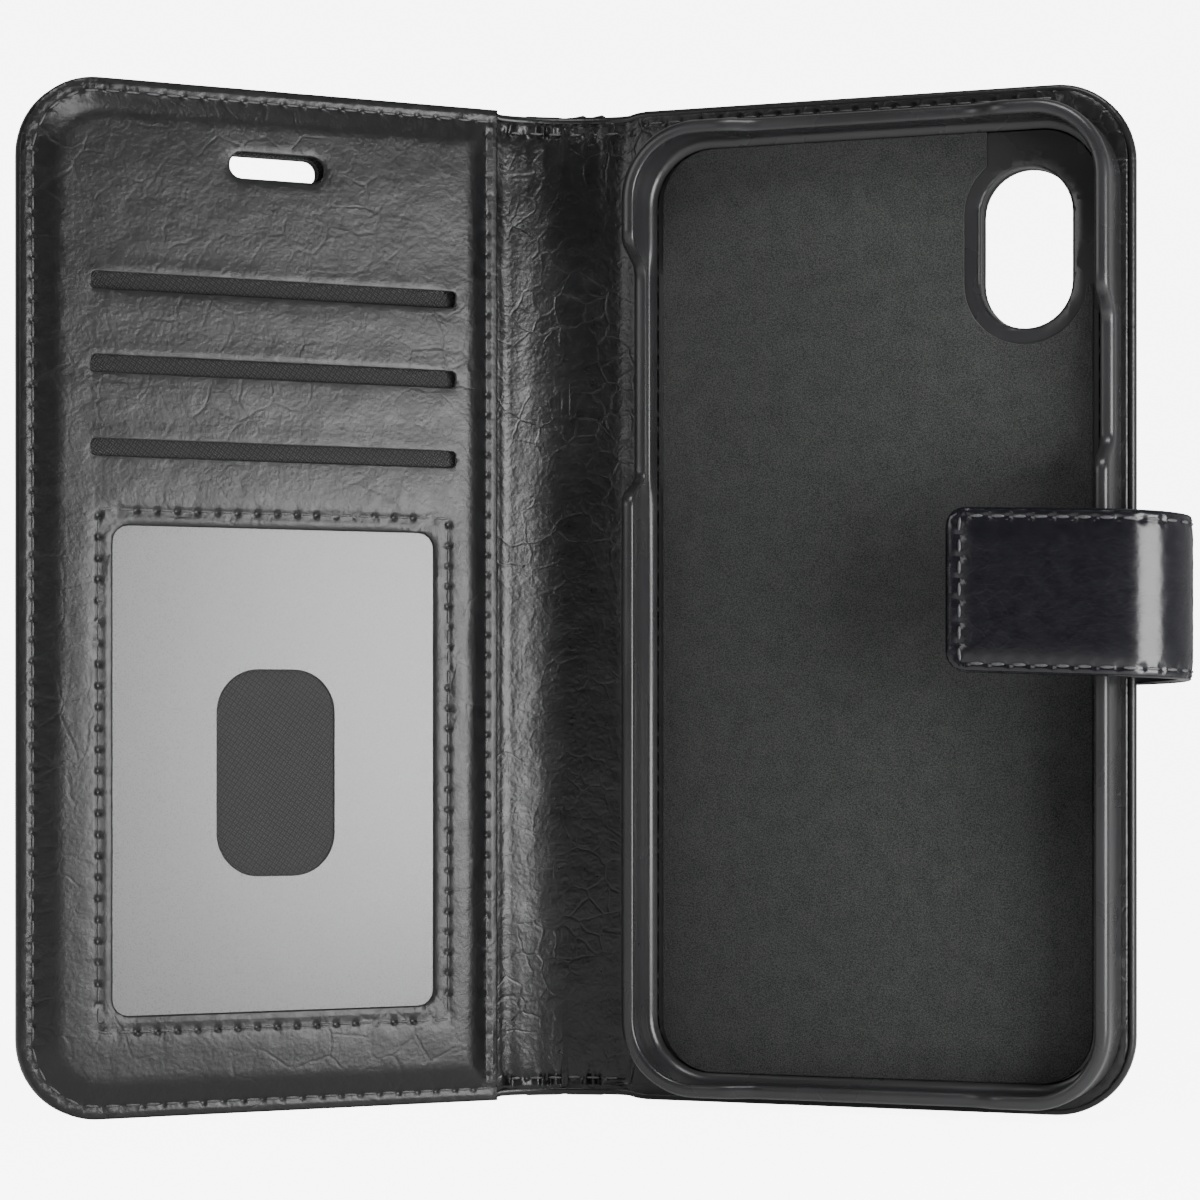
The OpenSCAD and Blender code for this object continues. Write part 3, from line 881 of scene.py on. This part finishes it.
def card_pockets():
    """Each pocket is one woven strip folded at the bottom; its back ply shows through the slot."""
    for i, (name, slot) in enumerate(zip(("top", "middle", "bottom"), SLOTS)):
        node = "card_pocket_" + name
        low, high = span(node, ON_FRONT)
        (cx, cy), (w, h), _ = slot
        deep = high.y - low.y - 0.4
        bm = bmesh.new()
        length = 2 * deep
        outline(bm, (0, length / 2), (high.x - low.x, length), (0,) * 4)
        fill(bm, (), 2.0)
        keep_flat(bm)
        gap = (high.z - low.z) / 2 - 0.09
        middle = (low.z + high.z) / 2

        def fold(x, s, z, cx=cx, top=high.y, deep=deep, gap=gap, middle=middle, lift=i):
            side = np.where(s < deep, -1.0, 1.0)
            down = np.where(s < deep, s, length - s)
            near = ease((deep - down) / 0.8)
            y = top - 0.2 - down
            swell = (0.3 + 0.3 * (2 - lift)) * bump((y - top + 1.8) / 1.6) * (side > 0)
            return x + cx, y, middle + side * gap * near + swell
        reshape(bm, fold)
        thicken(bm, 0.12)
        made = piece(bm, "pocket_" + name, ON_FRONT, WOVEN, "woven_lining", [node])
        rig.ride(made, "front_cover")
        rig.sheet(made, flat=((high.x - low.x) * MM, length * MM), held="folded",
                 rests_on=["front_lining"])


def front_cover():
    card_panel()
    card_pockets()
    low, high = span("id_backing", ON_FRONT)
    woven_sheet("id_lining", "front_lining", ((low.x + high.x) / 2, (low.y + high.y) / 2),
                (high.x - low.x, high.y - low.y), low.z + 0.13, 0.02, ["id_backing"])
    lie = lambda x, y: panel_height(x, y) + 0.05
    stitches("front_edge_stitches", ON_FRONT, "front_cover", ["front_stitching"],
             [FRONT_SEAM], lie)
    stitches("fold_edge_stitches", ON_FRONT, "front_cover", ["seam_stitching"], [FOLD_SEAM], lie)
    stitches("window_stitches", ON_FRONT, "front_cover", ["window_stitching"], [ID_SEAM], lie)


# ---- outer leather and inner leather ----

def waist(x, y):
    """The spine is a little shorter than the covers."""
    dip = ease((BACK_EDGE + 1.5 - x) / 3) * ease((x - FRONT_EDGE + 1.5) / 3)
    return y + 0.5 * dip * (MID_Y - y) / MID_Y


def half_book(free):
    """Outline of one cover and its half of the spine, in the developed book."""
    left, right = min(free, SPINE_MID), max(free, SPINE_MID)
    radii = (0, CORNER_R, 0, CORNER_R) if free > SPINE_MID else (CORNER_R, 0, CORNER_R, 0)
    return ((left + right) / 2, MID_Y), (right - left, CASE_H), radii


def cut_aside(shape, free):
    """The same outline run on past the cut in the spine, so that only real edges round over."""
    (cx, cy), (w, h), radii = shape
    away = 20 if free < SPINE_MID else -20
    return (cx + away / 2, cy), (w + abs(away), h), radii


def outer_z(x, y, shape, free):
    """Outer face: flat on the covers, a little higher on the spine, round at the edges."""
    on_spine = ease((BACK_EDGE + 1.2 - x) / 3.2) * ease((x - FRONT_EDGE + 1.2) / 3.2)
    z = OUT_Z + (IN_Z - SPINE_HALF) * on_spine
    z -= 0.18 * bump((x - FOLD_X) / 1.4) + 0.18 * bump((x - FOLD_X + SPINE_L) / 1.4)
    return z + roll(inside(x, y, cut_aside(shape, free)), 1.15)


def outer_leather(name, free, seam, hole, bodies, start, end, nodes):
    """Outer skin of one cover: over the edge, up the side and on to the inner rim."""
    shape = half_book(free)
    wide = cut_aside(shape, free)
    bm = bmesh.new()
    outline(bm, *shape)
    outline(bm, *hole)
    fill(bm, (0.1, 0.2, 0.35, 0.5), 1.5)
    refine(bm, [seam], 1.6)
    keep_flat(bm)
    reshape(bm, lambda x, y, z: (
        x, y, outer_z(x, y, shape, free) + roll(-inside(x, y, hole), 0.5)
        + seam.pucker(x, y, 0.32) + 0.06 * waves(x, y, 11, 7)))
    sweep(bm, shape, ((0, 0.15), (0, 0.85), (-0.12, 1.12), (-0.4, 1.3), (-0.8, 1.36), (-1.0, 1.2)),
          lambda off, z, x, y: z * (1 - spine_share(x) * (1 - SPINE_HALF / IN_Z)), wide)
    bmesh.ops.reverse_faces(bm, faces=bm.faces[:])
    thicken(bm, 0.5)
    reshape(bm, lambda x, y, z: book(x, waist(x, y), z))
    made = piece(bm, name, ON_BACK, COVER_LEATHER, "cover_leather", nodes)
    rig.blend(made, *bodies, start, end)


def spine_share(x):
    """1 on the spine, 0 on the covers."""
    return ease((BACK_EDGE + 1.2 - x) / 3.2) * ease((x - FRONT_EDGE + 1.2) / 3.2)


def sweep(bm, shape, profile, height, lean=None):
    """Extrudes the outline's edge through the profile of (offset outwards, z)."""
    rim = [e for e in bm.edges if e.is_boundary and all(
        abs(float(inside(v.co.x, v.co.y, shape))) < 0.02 for v in e.verts)]
    start = list({v for e in rim for v in e.verts})
    points = np.array([v.co for v in start])
    gx, gy = outward(points, lean or shape)
    base = {v: (p[0], p[1], a, b) for v, p, a, b in zip(start, points, gx, gy)}
    for off, z in profile:
        made = bmesh.ops.extrude_edge_only(bm, edges=rim)["geom"]
        fresh = {g for g in made if isinstance(g, bmesh.types.BMVert)}
        rim = [g for g in made if isinstance(g, bmesh.types.BMEdge)
               and g.verts[0] in fresh and g.verts[1] in fresh]
        places = {}
        for v in fresh:
            old = next(e.other_vert(v) for e in v.link_edges if e.other_vert(v) in base)
            places[v] = base[old]
        for v, (x, y, a, b) in places.items():
            v.co = (x + a * off, y + b * off, float(height(off, z, x, y)))
        base = places
    return rim


LINING_IN = 0.45
TOP_SEAM = Seam([(BACK_EDGE + 2, CASE_H - SEAM_IN), (BACK_FREE - CORNER_R, CASE_H - SEAM_IN)])


def gathers(x, y):
    """Folds that run in from both stitched ends of the spine."""
    end = np.minimum(y, CASE_H - y)
    side = np.where(y > MID_Y, 3.1, 8.7)
    phase = (x - SPINE_MID) / 2.7 + 0.5 * np.sin((x - SPINE_MID) * 0.9 + side)
    fade = ease(end / 1.5) * np.exp(-np.maximum(end - 2, 0) / 4.5)
    return 0.34 * np.sin(2 * math.pi * phase + side) * fade * spine_share(x)


def spine_seams():
    return [Seam([(SPINE_MID - SPINE_L / 2, v), (SPINE_MID + SPINE_L / 2, v)])
            for v in (SEAM_IN + 0.7, CASE_H - SEAM_IN - 0.7)]


def inner_z(x, y, wide):
    """Inner face: up over the edge of the back board, loose and wavy on the spine."""
    z = IN_Z - (IN_Z - SPINE_HALF) * spine_share(x)
    z -= 0.15 * bump((x - FOLD_X) / 1.2) + 0.3 * bump((x - FOLD_X + SPINE_L + 0.6) / 1.4)
    z += gathers(x, y) - TOP_SEAM.pucker(x, y)
    for seam in spine_seams():
        z -= seam.pucker(x, y)
    return z - roll(inside(x, y, wide), 0.6)


def inner_leather(name, left, right, radii, hole, bodies, start, end, slot, nodes):
    shape = ((left + right) / 2, MID_Y), (right - left, CASE_H - 2 * LINING_IN), radii
    wide = cut_aside(shape, BACK_FREE if right > SPINE_MID + 1 else FRONT_FREE)
    bm = bmesh.new()
    outline(bm, *shape)
    if hole:
        outline(bm, *hole)
    fill(bm, (0.1, 0.2, 0.35), 1.0)
    refine(bm, [TOP_SEAM, *spine_seams()], 1.5)
    keep_flat(bm)
    reshape(bm, lambda x, y, z: (
        x, y, inner_z(x, y, wide)
        + spine_share(x) * (0.1 * waves(x, y, 7, 3) + 0.05 * waves(x, y, 2.6, 4))))
    thicken(bm, 0.55)
    reshape(bm, lambda x, y, z: book(x, waist(x, y), z))
    made = piece(bm, name, ON_BACK, SPINE_LEATHER, slot, nodes)
    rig.blend(made, *bodies, start, end)


def book_point(x, z=0.0):
    """Point of the developed book in the row frame."""
    a, b, c = book(np.array([x]), MID_Y, np.array([z]))
    return ON_BACK @ Vector((float(a[0]), MID_Y, float(c[0])))


def leathers():
    back_zone = [book_point(FOLD_X + 2.2), book_point(FOLD_X - 2.2)]
    front_zone = [book_point(FOLD_X - SPINE_L + 2.2), book_point(FOLD_X - SPINE_L - 2.2)]
    shift = FRONT_EDGE
    speaker = ((SPEAKER[0][0] + shift, SPEAKER[0][1]), SPEAKER[1], SPEAKER[2])
    outer_leather("outer_leather_back", BACK_FREE, cover_seam(BACK_FREE, BACK_EDGE + 2), CAMERA,
                  ("back_cover", "spine"), *back_zone, ["back_leather"])
    front_row = Seam([(x + shift, y) for x, y in (
        (-2, SEAM_IN), (PANEL_LOW.x + SEAM_IN, SEAM_IN),
        (PANEL_LOW.x + SEAM_IN, CASE_H - SEAM_IN), (-2, CASE_H - SEAM_IN))], CORNER_R - SEAM_IN)
    outer_leather("outer_leather_front", FRONT_FREE, front_row, speaker,
                  ("spine", "front_cover"), *front_zone, ["front_leather", "spine_leather"])
    r = CORNER_R - LINING_IN - 0.5
    inner_leather("inner_leather_back", SPINE_MID, BACK_FREE - 1.0, (0, r, 0, r), CAMERA,
                  ("back_cover", "spine"), *back_zone, "cover_leather", ["back_lining"])
    inner_leather("inner_leather_front", FRONT_EDGE - 1.0, SPINE_MID, (0, 0, 0, 0), None,
                  ("spine", "front_cover"), *front_zone, "cover_leather", ["spine_lining"])
    lie = lambda x, y: inner_z(x, y, ((0, MID_Y), (400, CASE_H), (0,) * 4)) + 0.04
    stitches("back_edge_stitches", ON_BACK, "back_cover", ["back_stitching"], [TOP_SEAM], lie)
    stitches("spine_stitches", ON_BACK, "spine", ["spine_stitching"], spine_seams(), lie,
             bend=lambda x, y, z: book(x, waist(x, y), z))
    back_row = cover_seam(BACK_FREE, BACK_EDGE + 2)
    under = lambda x, y: np.full(len(x), OUT_Z + 0.02)
    stitches("front_outer_stitches", ON_BACK, None, [], [front_row], under,
             bend=lambda x, y, z: book(x, y, z))
    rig.ride(bpy.data.objects["front_outer_stitches"], "front_cover")
    stitches("back_outer_stitches", ON_BACK, "back_cover", [], [back_row], under)


# ---- phone tray ----

CAVITY = ((TRAY_MID.x, TRAY_MID.y),
          (TRAY_HIGH.x - TRAY_LOW.x - 2 * TRAY_WALL, TRAY_HIGH.y - TRAY_LOW.y - 2 * TRAY_WALL),
          (10,) * 4)
FILLET = 1.3
TRAY_TOP = TRAY_HIGH.z


def tray_top(x, y):
    """Height of the wall's rim: lower between the corners at both ends, and at the keys."""
    (cx, cy), (w, h), _ = CAVITY
    at_end = ease((np.abs(y - cy) - h / 2 + 6) / 2)
    drop = 1.6 * ease((w / 2 - 14.4 - np.abs(x - cx)) / 5) * at_end
    left = 6.0 * ease((y - 92) / 4) * ease((131.4 - y) / 4) * (x < cx - w / 4)
    right = 4.5 * ease((y - 95.4) / 4) * ease((121.4 - y) / 4) * (x > cx + w / 4)
    return TRAY_TOP - drop - left - right


def tray_wall(off, z, x, y):
    """z up to 1 runs from the floor to the rim; above 1 it counts down from the rim outside."""
    top = tray_top(x, y)
    if z < 0:
        return -z
    if z <= 1:
        return TRAY_FLOOR + z * (top - TRAY_FLOOR)
    return top - (z - 1)


def phone_tray():
    (cx, cy), (w, h), _ = CAVITY
    base = ((cx, cy), (w - 2 * FILLET, h - 2 * FILLET), (10 - FILLET,) * 4)
    bm = bmesh.new()
    outline(bm, *base)
    outline(bm, *CAMERA)
    fill(bm, (0.08, 0.15, 0.3), 1.2)
    reshape(bm, lambda x, y, z: (x, y, TRAY_FLOOR - roll(-inside(x, y, CAMERA), 0.5)))
    wall = [(-0.75, 0.02), (-0.3, 0.06), (-0.05, 0.12), (0.12, 0.3), (0.15, 0.55), (0.08, 0.78),
            (-0.2, 0.87), (-0.42, 0.91), (-0.5, 0.95), (-0.42, 0.98), (-0.15, 0.995), (0.3, 1.0),
            (0.8, 1.02), (1.2, 1.18), (1.45, 1.45), (1.58, 1.9), (1.6, 2.6), (1.6, -2.6),
            (1.5, -2.0), (1.25, -1.7), (0.8, -1.6)]
    last = sweep(bm, base, [(off + FILLET, z) for off, z in wall], tray_wall)
    hole = [e for e in bm.edges if e.is_boundary and e not in set(last)]
    made = bmesh.ops.extrude_edge_only(bm, edges=hole)["geom"]
    for g in made:
        if isinstance(g, bmesh.types.BMVert):
            g.co.z = 1.6
    rims = [e for e in bm.edges if e.is_boundary]
    bmesh.ops.triangle_fill(bm, use_beauty=True, edges=rims, normal=(0, 0, -1))
    bmesh.ops.recalc_face_normals(bm, faces=bm.faces[:])
    made = piece(bm, "phone_tray", ON_BACK, TRAY_PLASTIC, "tray_plastic", ["phone_shell"], 80)
    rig.ride(made, "back_cover")


def flock_pad():
    """Die-cut flocked sheet with a soft edge."""
    source = frame["nodes"]["shell_liner"].data
    bm = bmesh.new()
    bm.from_mesh(source)
    bmesh.ops.transform(bm, matrix=ON_BACK.inverted(), verts=bm.verts[:])
    bmesh.ops.remove_doubles(bm, verts=bm.verts[:], dist=0.005)
    bmesh.ops.dissolve_limit(bm, angle_limit=0.01, verts=bm.verts[:], edges=bm.edges[:])
    top = [e for e in bm.edges if all(v.co.z > PAD_HIGH.z - 0.02 for v in e.verts)
           and len(e.link_faces) == 2 and e.calc_face_angle(0) > 1]
    bmesh.ops.bevel(bm, geom=top, offset=0.14, offset_type="OFFSET", affect="EDGES", segments=2,
                    profile=0.5, material=-1)
    bmesh.ops.triangulate(bm, faces=bm.faces[:])
    area = sum(f.calc_area() for f in bm.faces if f.normal.z > 0.9) * MM * MM
    made = piece(bm, "flock_pad", ON_BACK, FLOCK, "flocked_pad", ["shell_liner"], 50)
    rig.ride(made, "back_cover")
    size = ((PAD_HIGH.x - PAD_LOW.x) * MM, (PAD_HIGH.y - PAD_LOW.y) * MM)
    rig.sheet(made, flat=size, held="laid", rests_on=["phone_tray"], area=area)


# ---- strap ----

def strap_line():
    """Centre line of the strap: out of the cover, round its edge and along the tab."""
    turn = math.radians(74)
    arc = [(LOOP_C[0] + LOOP_R * math.cos(a), LOOP_C[1] + LOOP_R * math.sin(a))
           for a in np.linspace(-turn, turn, 60)]
    tab_z = (TAB_HIGH.z + TAB_IN_LOW.z) / 2
    line = np.array([(33.0, 0.3), (39.6, 0.3), *arc, (38.6, tab_z), (TAB_LOW.x, tab_z)])
    along = np.concatenate([[0], np.cumsum(np.hypot(*np.diff(line, axis=0).T))])
    s = np.arange(0, along[-1], 0.2)
    even = np.stack([np.interp(s, along, line[:, 0]), np.interp(s, along, line[:, 1])], 1)
    for _ in range(3):
        even[4:-4] = np.mean([even[4 + k:len(even) - 4 + k] for k in range(-4, 5)], 0)
    return s, even


STRAP_S, STRAP_XZ = strap_line()
STRAP_CUT = float(STRAP_S[np.argmax(STRAP_XZ[:, 0])])
STRAP_END = float(STRAP_S[-1])
TAB_ROOT = STRAP_END - (TAB_HIGH.x - TAB_LOW.x)
STRAP_OUT = ((STRAP_END / 2, STRAP_MID), (STRAP_END, STRAP_W), (0, 3, 0, 3))
STRAP_ROWS = Seam([(9.0, STRAP_MID - STRAP_W / 2 + STRAP_SEAM),
                   (STRAP_END - 2.2, STRAP_MID - STRAP_W / 2 + STRAP_SEAM),
                   (STRAP_END - 2.2, STRAP_MID + STRAP_W / 2 - STRAP_SEAM),
                   (9.0, STRAP_MID + STRAP_W / 2 - STRAP_SEAM)], 1.4)


def along_strap(s, y, z):
    """Takes the flat strap round the cover's edge, a little askew as it was sewn."""
    px = np.interp(s, STRAP_S, STRAP_XZ[:, 0])
    pz = np.interp(s, STRAP_S, STRAP_XZ[:, 1])
    tx = np.interp(s + 0.3, STRAP_S, STRAP_XZ[:, 0]) - np.interp(s - 0.3, STRAP_S, STRAP_XZ[:, 0])
    tz = np.interp(s + 0.3, STRAP_S, STRAP_XZ[:, 1]) - np.interp(s - 0.3, STRAP_S, STRAP_XZ[:, 1])
    size = np.maximum(np.hypot(tx, tz), 1e-9)
    lean = STRAP_SKEW * (s / STRAP_END - 0.5)
    return px + z * tz / size, y + lean, pz - z * tx / size


def strap_half(s):
    """Half the strap's thickness: thin at the root, full in the tab."""
    return 0.35 + 0.55 * ease((s - 5.5) / 4) + 0.3 * ease((s - TAB_ROOT + 2) / 4)


def strap_z(s, y):
    """Outer face: rolled edges, a sewn row, and pressed lines across the free end."""
    d = inside(s, y, STRAP_OUT)
    z = strap_half(s) - roll(d, 0.75) - STRAP_ROWS.pucker(s, y, 0.34, 0.5, 0.1)
    last = ease((s - STRAP_END + 2.0) / 0.6)
    z -= 0.09 * last * (0.5 + 0.5 * np.cos(2 * math.pi * d / 0.42)) * ease((1.9 - d) / 0.4)
    bend = bump((s - STRAP_CUT - 3) / 7)
    return z + bend * 0.05 * np.sin((s + 0.6 * np.sin(y * 0.7)) * 5)


def strap_skin(name, low, high, side, bodies, zone, nodes):
    """One leather face of the strap between two lengths; side is 1 outside and -1 inside."""
    radii = (0, 3, 0, 3) if high > STRAP_END - 1 else (0,) * 4
    shape = ((low + high) / 2, STRAP_MID), (high - low, STRAP_W), radii
    bm = bmesh.new()
    outline(bm, *shape)
    fill(bm, (0.08, 0.15, 0.25), 0.7)
    if side > 0:
        refine(bm, [STRAP_ROWS], 1.2, 1)
    keep_flat(bm)

    def form(x, y, z):
        if side > 0:
            return x, y, strap_z(x, y)
        d = inside(x, y, STRAP_OUT)
        return x, STRAP_MID + (y - STRAP_MID) * 0.985, -strap_half(x) + roll(d, 0.7)
    reshape(bm, form)
    if side < 0:
        bmesh.ops.reverse_faces(bm, faces=bm.faces[:])
    thicken(bm, 0.3)
    reshape(bm, along_strap)
    made = piece(bm, name, ON_BACK, STRAP_LEATHER, "strap_leather", nodes)
    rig.blend(made, *bodies, *zone)


def strap():
    y, z = -LOOP_R * MM, STRAP_MID * MM
    root = [(0.0388, y, z), (0.0418, y, z)]
    fold = [(0.0418, y, z), (0.0386, y, z)]
    both = ("back_cover", "strap_bridge"), ("strap_bridge", "strap_tab")
    strap_skin("strap_root_outer", 0, STRAP_CUT, 1, both[0], root, ["strap_bridge_outer"])
    strap_skin("strap_root_inner", 0, STRAP_CUT, -1, both[0], root, ["strap_bridge_inner"])
    strap_skin("strap_tab_skin", STRAP_CUT, STRAP_END, 1, both[1], fold, ["strap_tab_outer"])
    strap_skin("strap_tab_back", STRAP_CUT, STRAP_END, -1, both[1], fold, ["strap_tab_inner"])
    lie = lambda x, y: strap_z(x, y) + 0.05
    for name, body, test, nodes in (
        ("strap_bend_stitches", "strap_bridge", lambda s: s < TAB_ROOT - 1.5,
         ["strap_bridge_stitching"]),
        ("strap_tab_stitches", "strap_tab", lambda s: s >= TAB_ROOT - 1.5, ["strap_stitching"]),
    ):
        row = Seam([tuple(p) for p in STRAP_ROWS.path])
        row.places = lambda test=test: (p for p in STRAP_ROWS.places() if test(p[0].x))
        stitches(name, ON_BACK, body, nodes, [row], lie, 2.0, 0.5, 0.36, bend=along_strap)


# ---- CAD nodes that stay: inner layers and the window film ----

def finish_nodes():
    finishes = {
        "front_board": BOARD, "back_board": BOARD, "closure_plate": STEEL, "front_lining": LINING,
        "spine_interlining": FELT, "shell_adhesive": GLUE, "strap_anchor": STRAP_LEATHER_CAD,
        "strap_core": FELT, "strap_magnets": STEEL, "id_window_film": FILM,
    }
    for node, mat in finishes.items():
        data = frame["nodes"][node].data
        data.materials.clear()
        data.materials.append(mat)


def build_all():
    front_cover()
    leathers()
    phone_tray()
    flock_pad()
    strap()
    finish_nodes()


GRAIN, WEAVE, PILE = grain_group(), weave_group(), speckle_group()
THREAD = thread_material()
PANEL_LEATHER = leather("panel_leather", (0.004, 0.004, 0.0045), (0.010, 0.010, 0.011), 0.36)
COVER_LEATHER = leather("cover_leather", (0.004, 0.004, 0.0045), (0.010, 0.010, 0.011), 0.34)
SPINE_LEATHER = leather("spine_leather", (0.004, 0.004, 0.0045), (0.010, 0.010, 0.011), 0.3,
                        creases=260.0, deep=0.5, distance=0.00008)
STRAP_LEATHER = leather("strap_leather", (0.005, 0.005, 0.007), (0.011, 0.011, 0.014), 0.2,
                        creases=320.0, deep=0.12, distance=0.00002)
STRAP_LEATHER_CAD = leather("strap_root_leather", (0.005, 0.005, 0.007), (0.011, 0.011, 0.014),
                            0.3, flat=False)
WOVEN = cloth("woven_lining", (0.003, 0.003, 0.003), (0.07, 0.07, 0.073), 1400.0, 0.6)
LINING = cloth("board_lining", (0.006, 0.006, 0.006), (0.05, 0.05, 0.052), 1500.0, -BEND, False)
FELT = cloth("felt", (0.15, 0.15, 0.15), (0.3, 0.3, 0.3), 900.0, 0.0, False)
FLOCK = flock("flock", (0.012, 0.013, 0.0125), (0.062, 0.065, 0.062))
TRAY_PLASTIC = moulded("tray_plastic", (0.018, 0.018, 0.019), (0.028, 0.028, 0.03), 0.27)
GLUE = moulded("glue_sheet", (0.5, 0.48, 0.4), (0.6, 0.58, 0.5), 0.6)
FILM = frosted("frosted_film")
STEEL = metal("cut_steel", (0.55, 0.55, 0.56), 0.35)
# Painted shade: the board is coloured near black so that its cut edge in the speaker opening shows as the dark inside
# the hole.
BOARD = pressed_board("black_board", (0.01, 0.01, 0.01), (0.03, 0.03, 0.03))

make_camera()
make_world()
make_floor()
softbox("side_box", (0.25, -0.14, 0.05), (-0.07, -0.03, 0.06), (0.16, 0.22), 1.5)
softbox("front_box", (-0.42, -0.62, 0.30), (0.0, 0.0, 0.07), (0.30, 0.30), 0.9)
softbox("top_box", (0.10, -0.35, 0.60), (-0.02, 0.0, 0.07), (0.30, 0.20), 2.0)
build_all()

SIZES = {"cad": [list(v) for v in CAD_BOX], "visual": [list(v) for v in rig.bounds()]}
with open("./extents.json", "w") as out:
    json.dump(SIZES, out)
